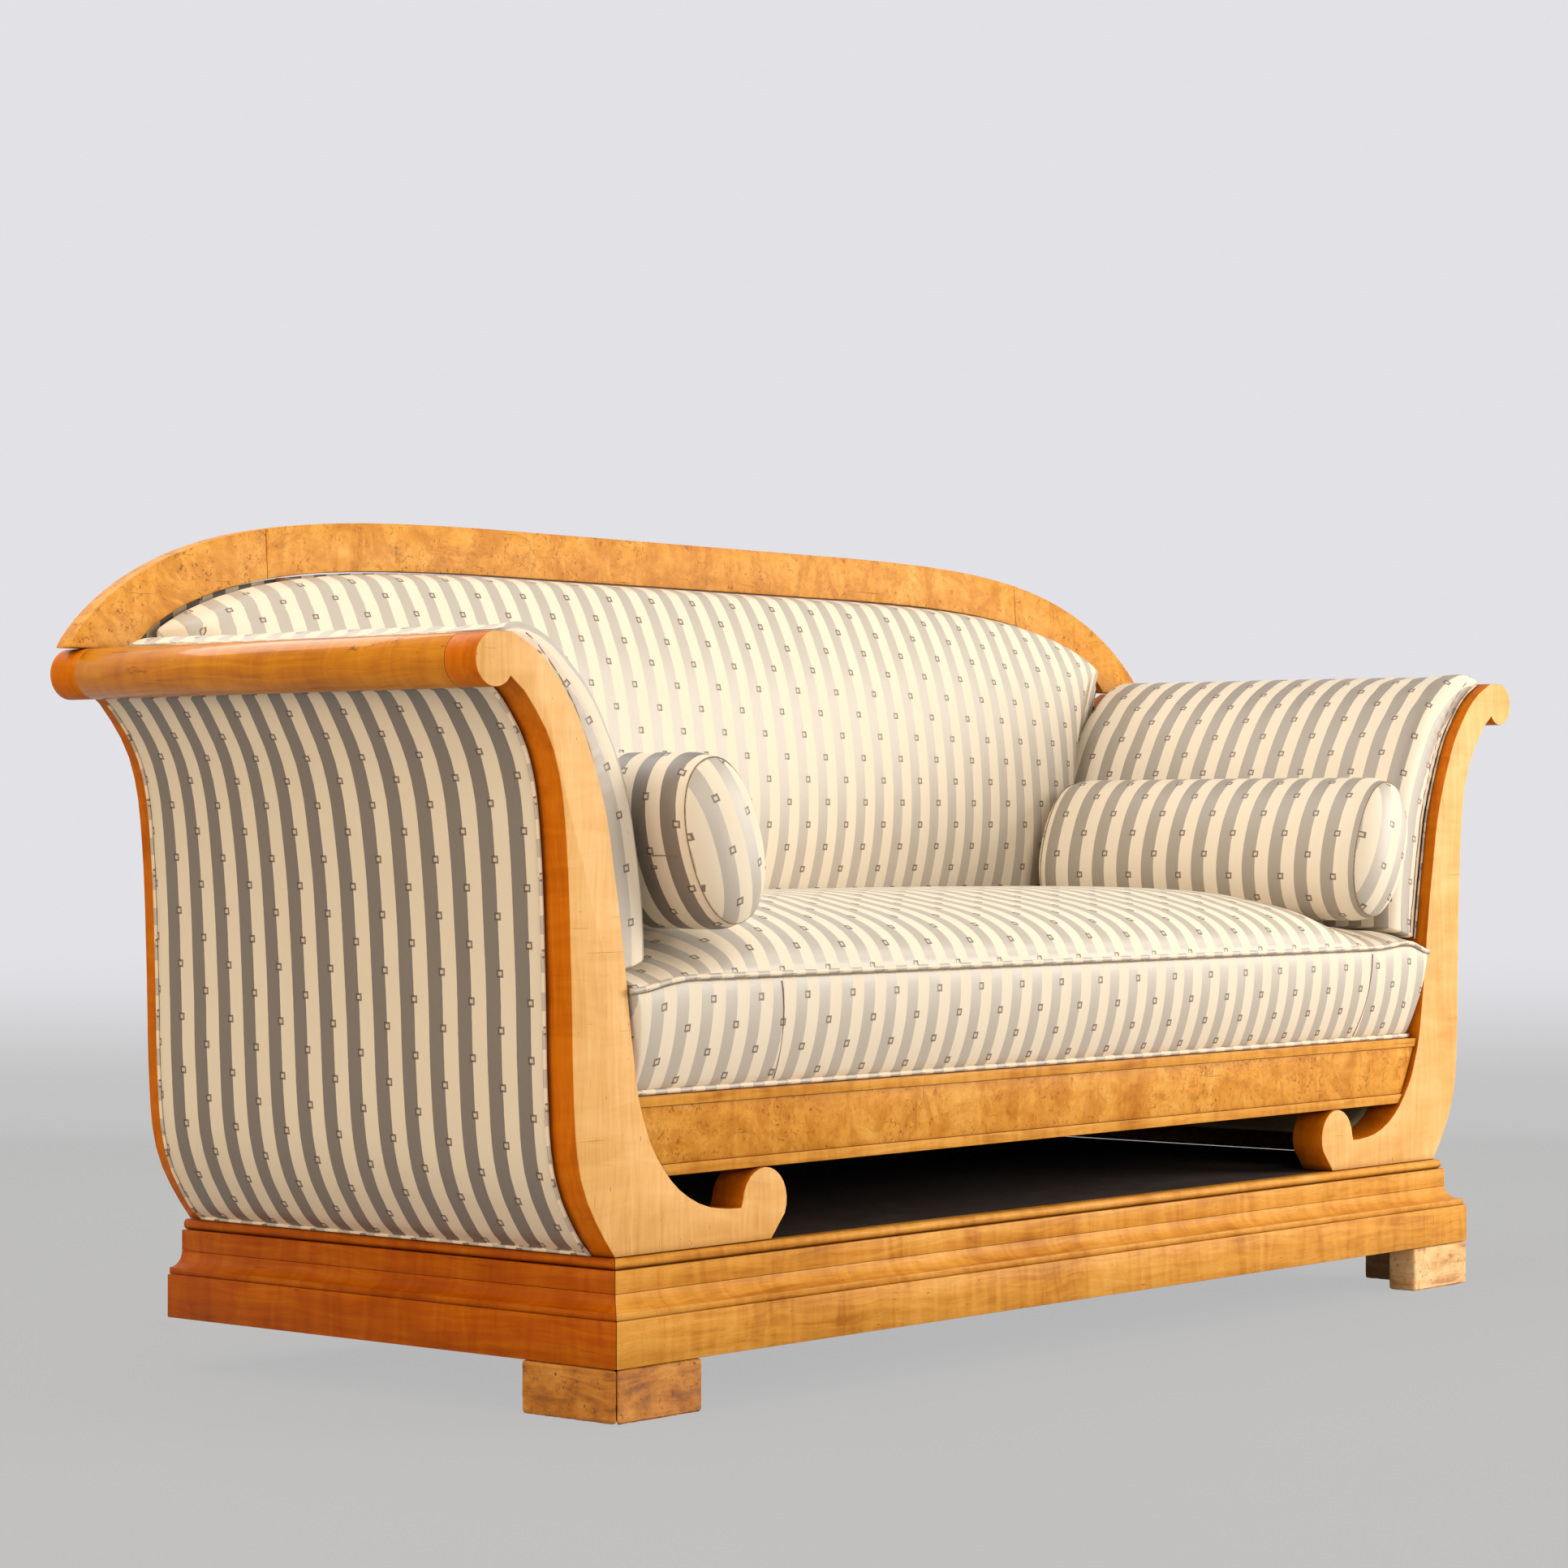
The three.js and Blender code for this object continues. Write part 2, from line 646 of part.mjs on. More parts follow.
function addSeatBox() {
  const boxTop = seatBottom - jointGap;
  const layers = [
    ["seat_rail_lower_strip", seatBoxBottom, apronBottom - jointGap, apronY - stripProud, "honeyWood"],
    ["seat_rail_front", apronBottom, apronTop - jointGap, apronY, "burlWood"],
    ["seat_rail_upper_strip", apronTop, boxTop, apronY - stripProud, "honeyWood"],
  ];
  for (const [name, low, high, faceY, finish] of layers) {
    const halfAt = (z) => innerXAt(z) - jointGap;
    const outline = [
      new THREE.Vector2(-halfAt(low), low),
      new THREE.Vector2(halfAt(low), low),
      new THREE.Vector2(halfAt(high), high),
      new THREE.Vector2(-halfAt(high), high),
    ];
    addPiece(name, boardInXZ(outline, faceY, apronY + apronThickness), finish);
  }
  const sideHigh = innerXAt(seatBoxBottom) - restGap;
  const sideLow = sideHigh - sideRailWidth;
  const railFrontY = apronY + apronThickness + jointGap;
  const railRearY = padBackY + backLiningThickness + backStileThickness;
  const leftRail = block(-sideHigh, -sideLow, railFrontY, railRearY, seatBoxBottom, boxTop);
  const rightRail = block(sideLow, sideHigh, railFrontY, railRearY, seatBoxBottom, boxTop);
  addPiece("seat_rail_left", leftRail, "plainWood");
  addPiece("seat_rail_right", rightRail, "plainWood");
  const backHalf = sideLow - jointGap;
  const backRailY = padBackY - softGap - sideRailWidth / 2;
  const slatBottom = boxTop - slatThickness;
  const ledgeTop = slatBottom - jointGap;
  const ledgeRearY = railFrontY + ledgeDepth;
  const ledge = block(-backHalf, backHalf, railFrontY, ledgeRearY, ledgeTop - ledgeHeight, ledgeTop);
  addPiece("seat_ledge_front", ledge, "plainWood");
  const backRail = block(-backHalf, backHalf, backRailY, railRearY, seatBoxBottom, ledgeTop);
  addPiece("seat_rail_back", backRail, "plainWood");
  for (let k = 0; k < slatCount; k += 1) {
    const centre = -backHalf + (backHalf * 2 * (k + 1)) / (slatCount + 1);
    const [lowX, highX] = [centre - slatWidth / 2, centre + slatWidth / 2];
    const slat = block(lowX, highX, railFrontY, backRailY + slatOverlap, slatBottom, boxTop);
    addPiece(`seat_slat_${k + 1}`, slat, "plainWood");
  }
}

const armFootX = innerXAt(seatEdgeHeight) - armPadThickness * (1 - padFootShare);
const seatDomeHalfWidth = armFootX - softGap - softGap;
const seatFrontTopY = frontScrollY - seatOverhang;
const seatRearY = padBackY - softGap;

// How far a bolster's lowest line lies inwards of its middle
const leanSwing = (bolsterHeight ** 2 - bolsterWidth ** 2) * Math.sin(bolsterLean) * Math.cos(bolsterLean);
const bolsterDepth = Math.hypot(bolsterHeight * Math.cos(bolsterLean), bolsterWidth * Math.sin(bolsterLean));
const lowestSetIn = leanSwing / (2 * bolsterDepth);

// How high the seat stands at a place: full crown in the middle, down to the piping at the edges
function seatHeight(x, y) {
  const depth = seatRearY - seatFrontTopY;
  const along = (y - seatFrontTopY) / depth;
  const forward = Math.min(along / seatSummitShare, 1);
  const front = Math.max(1 - (1 - forward) ** seatFrontPower, 0) ** seatFrontSoftness;
  const rearward = Math.max((along - seatSummitShare) / (1 - seatSummitShare), 0);
  const rear = 1 - seatRearDropShare * rearward ** 2;
  const across = Math.min(Math.abs(x) / seatDomeHalfWidth, 1);
  const crown = seatCrown * front * rear * (1 - across ** seatSidePower);
  const hollowX = (x < 0 ? bolsterPlaces.left.x : bolsterPlaces.right.x) - lowestSetIn;
  const toBolster = Math.min(Math.abs(Math.abs(x) - hollowX) / bolsterHollowReach, 1);
  const hollow = bolsterHollowDepth * front * Math.cos((Math.PI / 2) * toBolster) ** 2;
  const settle = seatSettle * front * Math.sign(x) * across ** 3 * (1 - across ** seatSidePower);
  return seatEdgeHeight + Math.max(crown - hollow - settle, 0);
}

function addSeat() {
  const endColumns = 12;
  const middleColumns = 8;
  const columns = 2 * endColumns + middleColumns;
  const rows = 12;
  const topHalf = (z) => innerXAt(z) - softGap;
  const edgeZ = seatBottom + jointGap;
  const middleHalf = topHalf(seatEdgeHeight) - seatEndWidth;
  const acrossAt = (u, half) => {
    const fromMiddle = Math.abs(u - 0.5) * columns;
    const inMiddle = Math.min(fromMiddle / (middleColumns / 2), 1);
    const inEnd = Math.max(fromMiddle - middleColumns / 2, 0) / endColumns;
    return Math.sign(u - 0.5) * (middleHalf * inMiddle + (half - middleHalf) * inEnd);
  };
  const place = (u, v, half, frontEdge) => {
    const x = acrossAt(u, half);
    const y = frontEdge + (seatRearY - frontEdge) * (1 - Math.cos((Math.PI / 2) * v));
    return [x, y];
  };
  const lower = (u, v) => {
    const [x, y] = place(u, v, topHalf(edgeZ), frontScrollY + seatFootSetIn);
    return new THREE.Vector3(x, y, edgeZ);
  };
  const upper = (u, v) => {
    const [x, y] = place(u, v, topHalf(seatEdgeHeight), seatFrontTopY);
    return new THREE.Vector3(x, y, seatHeight(x, y));
  };
  const boxing = (u, v, share) => {
    const push = seatBoxingBulge * Math.sin(Math.PI * share) ** boxingPower;
    return new THREE.Vector3(0, v === 0 ? -push : 0, 0);
  };
  addPiece("seat_cushion", shell(columns, rows, lower, upper, 3, boxing), "stripedCloth");
}

// Height of a crest bow above its foot
function bowHeight(x, halfLength, rise, softness) {
  const across = Math.min(Math.abs(x) / halfLength, 1);
  return rise * (1 - across ** bowPower) ** softness;
}

const crestTopAt = (x) => crestBottom + bowHeight(x, crestHalfLength, crestRise, topBowSoftness);
const crestLowerAt = (x) => crestBottom + bowHeight(x, crestTipX, crestLowerRise, lowerBowSoftness);

// Part of the crest rail from one X to another, leaning back as it rises
function crestPiece(lowX, highX, steps) {
  const outline = [];
  const spread = (low, high, k) => low + (high - low) * Math.sin((Math.PI / 2) * (k / steps));
  for (let k = 0; k <= steps; k += 1) {
    const x = spread(lowX, Math.min(highX, crestTipX), k);
    outline.push(new THREE.Vector2(x, crestLowerAt(x)));
  }
  for (let k = steps; k >= 0; k -= 1) {
    const x = spread(lowX, highX, k);
    outline.push(new THREE.Vector2(x, crestTopAt(x)));
  }
  return outline;
}

function leaningBoard(outline, lowY, highY) {
  const at = (y) => (p) => new THREE.Vector3(p.x, y + crestLeanShare * (p.y - crestBottom), p.y);
  return prism(outline, at(lowY), at(highY));
}

function addCrest() {
  const endSteps = 18;
  const centreSteps = 12;
  const rearFace = crestY + crestThickness;
  const end = crestPiece(crestJointX + jointGap, crestHalfLength, endSteps);
  addPiece("crest_rail_left", leaningBoard(onSide(end, -1), crestY, rearFace), "burlWood");
  addPiece("crest_rail_right", leaningBoard(end, crestY, rearFace), "burlWood");
  const half = crestPiece(0, crestJointX, centreSteps);
  const lowerHalf = half.slice(0, centreSteps + 1);
  const upperHalf = half.slice(centreSteps + 1);
  const mirrored = (points) => onSide(points, -1).reverse();
  const centre = [...mirrored(lowerHalf).slice(0, -1), ...lowerHalf, ...upperHalf,
    ...mirrored(upperHalf).slice(1)];
  addPiece("crest_rail_centre", leaningBoard(centre, crestY, rearFace), "burlWood");
}

const padSamples = 60;
const padSampleReach = armPadThickness * padSampleShare;
const backCornerX = crestTipX - backCornerSetIn;

// Half width of the space between the arm pads' faces, and above them under the crest
function armFaceXAt(z) {
  let narrowest = innerXAt(z);
  for (let k = 0; k <= padSamples; k += 1) {
    const share = k / padSamples;
    const point = armPadPoint(1, share, 0.5, 1);
    if (Math.abs(point.z - z) < padSampleReach) {
      narrowest = Math.min(narrowest, point.x);
    }
  }
  return narrowest;
}

// Outline of a sheet in the back, row by row: share 0 is its foot, 1 its top under the crest
function backPlace(across, up, gap, footAt, sideXAt, cornerX) {
  const cornerTop = crestLowerAt(cornerX) - gap;
  const cornerFoot = footAt(armFootX);
  const edgeZ = cornerFoot + (cornerTop - cornerFoot) * up;
  const half = Math.min(sideXAt(edgeZ), cornerX) - gap;
  const x = half * (2 * across - 1);
  const z = footAt(x) + (crestLowerAt(x) - gap - footAt(x)) * up;
  return [x, z];
}

// The back pad's foot follows the seat's crown
function padFootAt(x) {
  const nearby = nearbyShares.map((share) => {
    const inwardX = Math.sign(x) * Math.max(Math.abs(x) - share * seatEndWidth, 0);
    return seatHeight(inwardX, padBackY - backPadThickness);
  });
  return Math.max(...nearby) + softGap + softGap;
}

function addBack() {
  const columns = 30;
  const rows = 9;
  const sheetColumns = 16;
  const sheetRows = 9;
  const front = (u, v) => {
    const across = gathered(u);
    const up = gathered(v);
    const [x, z] = backPlace(across, up, backPadTopGap, padFootAt, armFaceXAt, backCornerX);
    const sideFall = edgeFall(across, backSidePower, backBorderShare);
    return new THREE.Vector3(x, padBackY - backPadThickness * sideFall * backProfile(up), z);
  };
  const rear = (u, v) => {
    const [x, z] = backPlace(gathered(u), gathered(v), backPadTopGap, padFootAt, armFaceXAt, backCornerX);
    return new THREE.Vector3(x, padBackY, z);
  };
  addPiece("back_pad", shell(columns, rows, rear, front), "stripedCloth");
  const flatSheet = (lowY, thickness, foot, sideXAt, cornerX) => {
    const sheet = (y) => (u, v) => {
      const [x, z] = backPlace(gathered(u), gathered(v), backPadTopGap, () => foot, sideXAt, cornerX);
      return new THREE.Vector3(x, y, z);
    };
    return shell(sheetColumns, sheetRows, sheet(lowY + thickness), sheet(lowY));
  };
  const liningThickness = backLiningThickness - jointGap - jointGap;
  const liningFoot = seatEdgeHeight + seatCrown;
  const lining = flatSheet(padBackY + jointGap, liningThickness, liningFoot, armFaceXAt, backCornerX);
  addPiece("back_lining", lining, "liningCloth");
  const stileY = padBackY + backLiningThickness;
  const stileTop = crestLowerAt(backStileX + backStileWidth) - jointGap;
  const stileFoot = seatBottom;
  for (const [label, side] of [["left", -1], ["right", 1]]) {
    const ends = [side * backStileX, side * (backStileX + backStileWidth)];
    const stile = block(Math.min(...ends), Math.max(...ends), stileY, stileY + backStileThickness,
      stileFoot, stileTop);
    addPiece(`back_stile_${label}`, stile, "plainWood");
  }
  const panelY = rearY - backPanelSetIn;
  const panel = flatSheet(panelY, backPanelThickness, seatBoxBottom + jointGap, innerXAt, crestTipX);
  addPiece("back_panel_outer", panel, "stripedCloth");
  const boardHalf = innerXAt(seatBoxBottom);
  const slotBoard = block(-boardHalf, boardHalf, slotBoardY, rearScrollY - jointGap, baseTop + jointGap,
    seatBoxBottom - jointGap);
  addPiece("slot_board_back", slotBoard, "plainWood");
}

// Place on a bolster: shares of its half width and half height, and the length from its front seam
function bolsterPoint(place, widthShare, heightShare, along) {
  const across = (widthShare * bolsterWidth) / 2;
  const up = (heightShare * bolsterHeight) / 2;
  const x = place.x + across * Math.cos(bolsterLean) + up * Math.sin(bolsterLean);
  const z = up * Math.cos(bolsterLean) - across * Math.sin(bolsterLean);
  return new THREE.Vector3(place.side * x, place.frontY + along, z);
}

// A bolster: an oval tube with domed ends, leaning outwards at its top
function bolster(place) {
  const around = 24;
  const domeSteps = 4;
  const tubeSteps = 3;
  const shoulder = bolsterWidth * bolsterShoulderShare;
  const profile = [];
  for (let k = 0; k <= domeSteps; k += 1) {
    const angle = (Math.PI / 2) * (k / domeSteps);
    profile.push(new THREE.Vector2(bolsterSeamShare * Math.sin(angle), -bolsterDome * Math.cos(angle)));
  }
  for (let k = 1; k <= tubeSteps; k += 1) {
    const share = k / tubeSteps;
    const swell = (1 - bolsterSeamShare) * Math.sin((Math.PI / 2) * share);
    profile.push(new THREE.Vector2(bolsterSeamShare + swell, shoulder * share));
  }
  const rear = profile.map((p) => new THREE.Vector2(p.x, bolsterLength - p.y)).reverse();
  const lathe = new THREE.LatheGeometry([...profile, ...rear], around);
  const position = lathe.getAttribute("position");
  const points = [];
  for (let k = 0; k < position.count; k += 1) {
    points.push(bolsterPoint(place, position.getX(k), position.getZ(k), position.getY(k)));
  }
  const index = lathe.getIndex().array;
  const triangles = [];
  for (let k = 0; k < index.length; k += 3) {
    triangles.push([index[k], index[k + 1], index[k + 2]]);
  }
  return { points, triangles };
}

// How far a bolster is raised so that its tube rests on the seat
function bolsterRestHeight(place) {
  const samples = 48;
  let rest = seatEdgeHeight;
  for (let row = 1; row < samples; row += 1) {
    for (let turn = 0; turn < samples; turn += 1) {
      const angle = (2 * Math.PI * turn) / samples;
      const along = (bolsterLength * row) / samples;
      const point = bolsterPoint(place, Math.cos(angle), Math.sin(angle), along);
      rest = Math.max(rest, seatHeight(point.x, point.y) - point.z);
    }
  }
  return rest + restGap;
}

function addBolsters() {
  for (const [label, place] of Object.entries(bolsterPlaces)) {
    const { points, triangles } = bolster(place);
    const rest = bolsterRestHeight(place);
    points.forEach((p) => p.setZ(p.z + rest));
    addPiece(`bolster_${label}`, closedSolid(points, triangles), "stripedCloth");
  }
}

addPlinth();
addFeet();
addScrolls();
addArms();
addSeatBox();
addSeat();
addCrest();
addBack();
addBolsters();

export default sofa;
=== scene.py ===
"""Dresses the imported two-armed sofa: woods, striped cloth, piping and bolsters. Metres, +Z up."""
import math

import bmesh
import bpy
import numpy as np
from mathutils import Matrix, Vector, noise


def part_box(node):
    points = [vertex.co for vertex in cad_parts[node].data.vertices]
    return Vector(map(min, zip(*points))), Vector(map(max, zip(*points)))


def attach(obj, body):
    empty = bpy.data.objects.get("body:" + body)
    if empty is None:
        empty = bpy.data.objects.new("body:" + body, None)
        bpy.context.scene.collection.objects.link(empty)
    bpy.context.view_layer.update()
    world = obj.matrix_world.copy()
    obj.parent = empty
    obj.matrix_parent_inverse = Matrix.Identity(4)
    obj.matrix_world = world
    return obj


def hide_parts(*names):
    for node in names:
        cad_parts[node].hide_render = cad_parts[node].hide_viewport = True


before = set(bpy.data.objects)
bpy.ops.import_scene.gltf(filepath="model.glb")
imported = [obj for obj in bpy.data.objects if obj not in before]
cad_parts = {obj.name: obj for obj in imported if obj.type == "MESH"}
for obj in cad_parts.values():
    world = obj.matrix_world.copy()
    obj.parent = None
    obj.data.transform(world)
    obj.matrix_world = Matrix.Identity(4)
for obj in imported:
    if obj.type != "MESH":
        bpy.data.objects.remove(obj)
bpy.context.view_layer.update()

SOFA = "sofa"
MM = 0.001
SIDES = (("left", -1), ("right", 1))

# The cloth's weave: one grey and one cream stripe a period, small open squares on the grey stripe's edge
GREY_SHARE = 0.49
MOTIF_WIDTH = 9.6 * MM
MOTIF_HEIGHT = 9.0 * MM
MOTIF_LINE = 2.3 * MM
WARP_STEP = 1.7 * MM
WEFT_STEP = 1.9 * MM

# Upholstery sizes
PIPING_RADIUS = 3.2 * MM
EDGE_PIPING_RADIUS = 2.2 * MM
ARM_PIPING_RADIUS = 1.6 * MM
THREAD_RADIUS = 0.8 * MM
BOXING_THREAD_RADIUS = 0.6 * MM
JOINT_GAP = 0.3 * MM
SOFT_GAP = 1.5 * MM

# Sizes read from the frame
roll_low, roll_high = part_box("arm_roll_right")
board_low, board_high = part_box("scroll_board_front_right")
back_low, back_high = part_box("back_pad")
pad_low, pad_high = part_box("arm_pad_right")
crest_end_low, crest_end_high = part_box("crest_rail_right")
strip_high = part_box("seat_rail_upper_strip")[1]

SCROLL_REACH = 188.2 * MM
ROLL_X = (roll_low[0] + roll_high[0]) / 2
ROLL_Z = (roll_low[2] + roll_high[2]) / 2
ROLL_RADIUS = (roll_high[2] - roll_low[2]) / 2
BASE_TOP = board_low[2] - JOINT_GAP
SCROLL_RISE = ROLL_Z - BASE_TOP
SCROLL_FOOT_X = ROLL_X - SCROLL_REACH
FACE_Y = board_low[1]
BOARD_BACK_Y = board_high[1]
REAR_BOARD_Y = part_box("scroll_board_back_right")[0][1]

# Edge lines of the scroll boards as shares of the scroll's reach and rise, as the frame has them
OUTER_EDGE_SHARES = [
    (0, 0), (0.12, 0.045), (0.243, 0.102), (0.321, 0.173), (0.355, 0.292), (0.37, 0.447),
    (0.39, 0.6), (0.414, 0.7), (0.454, 0.79), (0.535, 0.862), (0.66, 0.915), (0.77, 0.951),
    (0.875, 0.973),
]
INNER_EDGE_SHARES = [
    (0.86, 1.0455), (0.673, 1.02), (0.536, 0.99), (0.409, 0.949), (0.306, 0.9086),
    (0.1985, 0.845), (0.1154, 0.785), (0.0567, 0.73), (0.0073, 0.655), (-0.042, 0.579),
    (-0.092, 0.484), (-0.134, 0.392), (-0.178, 0.312), (-0.208, 0.265), (-0.251, 0.23),
    (-0.325, 0.181), (-0.467, 0.129), (-0.61, 0.096), (-0.8, 0.0715), (-1.0, 0.0625),
    (-1.13, 0.061),
]
OUTER_STEPS = 26
INNER_STEPS = 44


# Lines and noise
def arc_lengths(points):
    return np.r_[0, np.cumsum(np.linalg.norm(np.diff(np.asarray(points, float), axis=0), axis=1))]


def even_line(points, count):
    """Evenly spaced points on a line of points."""
    points = np.asarray(points, float)
    lengths = arc_lengths(points)
    places = np.linspace(0, lengths[-1], count + 1)
    return np.stack([np.interp(places, lengths, column) for column in points.T], 1)


def spline(shares, count):
    """A smooth line through the edge's points, at its real size."""
    knots = np.array([(SCROLL_FOOT_X + a * SCROLL_REACH, BASE_TOP + b * SCROLL_RISE) for a, b in shares])
    last = len(knots) - 1
    fine = []
    for place in np.linspace(0, last, 40 * last + 1):
        k = min(int(place), last - 1)
        t = place - k
        p0, p1, p2, p3 = (knots[min(max(k + j, 0), last)] for j in (-1, 0, 1, 2))
        v0, v1 = (p2 - p0) / 2, (p3 - p1) / 2
        cubic = 2 * p1 - 2 * p2 + v0 + v1
        square = 3 * p2 - 3 * p1 - 2 * v0 - v1
        fine.append(cubic * t**3 + square * t**2 + v0 * t + p1)
    return even_line(fine, count)


outer_line = spline(OUTER_EDGE_SHARES, OUTER_STEPS)
inner_line = spline(INNER_EDGE_SHARES, INNER_STEPS)


def inner_x(z):
    """X of the scroll's inner edge at a height."""
    return float(np.interp(z, inner_line[::-1, 1], inner_line[::-1, 0]))


def line_normals(line):
    """Unit normals of a line, a quarter turn to the left of its direction."""
    direction = np.vstack([line[1:], line[-1:]]) - np.vstack([line[:1], line[:-1]])
    direction /= np.linalg.norm(direction, axis=1)[:, None]
    return np.stack([-direction[:, 1], direction[:, 0]], 1)


def smooth_step(x):
    x = np.clip(x, 0, 1)
    return x * x * (3 - 2 * x)


def ripple(depth, size, x, y=0.0, z=0.0, seed=0.0):
    """Smooth noise of about that depth up and down, with features of that size."""
    return depth * noise.noise(Vector((x / size + seed, y / size - seed, z / size + 2 * seed)))


# Colours and node helpers
def rgb(hex_code):
    """A display colour as linear values."""
    values = [int(hex_code[k:k + 2], 16) / 255 for k in (0, 2, 4)]
    return tuple(v / 12.92 if v <= 0.04045 else ((v + 0.055) / 1.055) ** 2.4 for v in values)


def rgba(hex_code):
    return (*rgb(hex_code), 1)


class Tree:
    """Short calls for building one material's nodes."""

    def __init__(self, name):
        self.material = bpy.data.materials.new(name)
        self.material.use_nodes = True
        self.nodes = self.material.node_tree.nodes
        self.links = self.material.node_tree.links
        self.nodes.clear()

    def add(self, kind, inputs=None, **settings):
        node = self.nodes.new(kind)
        for key, value in settings.items():
            setattr(node, key, value)
        for key, value in (inputs or {}).items():
            self.put(node.inputs[key], value)
        return node

    def put(self, socket, value):
        if isinstance(value, bpy.types.NodeSocket):
            self.links.new(value, socket)
        else:
            socket.default_value = value

    def object_place(self):
        return self.add("ShaderNodeTexCoord").outputs["Object"]

    def split(self, vector):
        return self.add("ShaderNodeSeparateXYZ", {0: vector}).outputs

    def math(self, operation, a, b=0.0, c=0.0):
        node = self.add("ShaderNodeMath", operation=operation)
        for socket, value in zip(node.inputs, (a, b, c)):
            self.put(socket, value)
        return node.outputs[0]

    def plus(self, a, b):
        return self.math("ADD", a, b)

    def minus(self, a, b):
        return self.math("SUBTRACT", a, b)

    def times(self, a, b):
        return self.math("MULTIPLY", a, b)

    def times_plus(self, a, b, c):
        return self.math("MULTIPLY_ADD", a, b, c)

    def from_middle(self, value, size):
        """Distance from the middle of the cell that the value is in, for cells of that size."""
        return self.math("ABSOLUTE", self.times(self.minus(self.math("FRACT", value), 0.5), size))

    def mix(self, share, a, b, blend="MIX"):
        node = self.add("ShaderNodeMix", {0: share, 6: a, 7: b}, data_type="RGBA", blend_type=blend)
        return node.outputs[2]

    def mix_value(self, share, a, b):
        return self.add("ShaderNodeMix", {0: share, 2: a, 3: b}, data_type="FLOAT").outputs[0]

    def stain(self, colour, share, strength, hex_code):
        """The colour, turned to another one by a share of that strength."""
        return self.mix(self.times(share, strength), colour, rgba(hex_code))

    def noise(self, vector, scale, detail=3.0, roughness=0.55, distortion=0.0):
        node = self.add("ShaderNodeTexNoise", {"Vector": vector, "Scale": scale, "Detail": detail,
                                               "Roughness": roughness, "Distortion": distortion})
        return node.outputs["Fac"]

    def stretch(self, vector, scale, turn=(0, 0, 0)):
        node = self.add("ShaderNodeMapping", {"Vector": vector, "Scale": scale, "Rotation": turn})
        return node.outputs[0]

    def ramp(self, value, places, hex_codes):
        """Three colours at three places."""
        node = self.add("ShaderNodeValToRGB", {"Fac": value})
        elements = node.color_ramp.elements
        elements.new(0.5)
        for element, place, hex_code in zip(elements, places, hex_codes):
            element.position = place
            element.color = rgba(hex_code)
        return node.outputs["Color"]

    def level(self, value, low, high):
        """0 below low, 1 above high, smooth between."""
        node = self.add("ShaderNodeMapRange", {"Value": value, "From Min": low, "From Max": high},
                        interpolation_type="SMOOTHSTEP")
        return node.outputs["Result"]

    def surface(self, colour, roughness, height, strength, distance, **fixed):
        """The finished material, with a bump of that strength and depth."""
        shader = self.add("ShaderNodeBsdfPrincipled", {"Base Color": colour, "Roughness": roughness})
        for key, value in fixed.items():
            shader.inputs[key.replace("_", " ")].default_value = value
        bump = self.add("ShaderNodeBump", {"Height": height, "Strength": strength, "Distance": distance})
        self.links.new(bump.outputs[0], shader.inputs["Normal"])
        return self.finish(shader)

    def finish(self, shader):
        self.add("ShaderNodeOutputMaterial", {0: shader.outputs[0]})
        return self.material


# Cloth materials. The satin grey stripe has its own gloss, and its colour also comes in lit and shaded
# copies: the paler greys are a painted sheen on the faces towards the light, the darker ones painted shade on
# the faces turned away
SHADED_GREYS = ("6C6359", "7C7267")
HALF_LIT_GREYS = ("968B7E", "A69B8D")
SHEEN_LIT_GREYS = ("B4AA9C", "C2B8AA")


def motif_masks(t, turns, along, period, spacing):
    """The small open squares, staggered from stripe to stripe: their lines, and the cloth inside them."""
    cell = t.plus(turns, 0.5 - GREY_SHARE)
    beside = t.from_middle(cell, period)
    stagger = t.times(t.math("MODULO", t.plus(t.math("FLOOR", cell), 1000.0), 2.0), 0.5)
    above = t.from_middle(t.plus(t.math("DIVIDE", along, spacing), stagger), spacing)
    outer, inner = (
        t.times(t.math("LESS_THAN", beside, MOTIF_WIDTH / 2 - line),
                t.math("LESS_THAN", above, MOTIF_HEIGHT / 2 - line))
        for line in (0, MOTIF_LINE)
    )
    return t.minus(outer, inner), inner


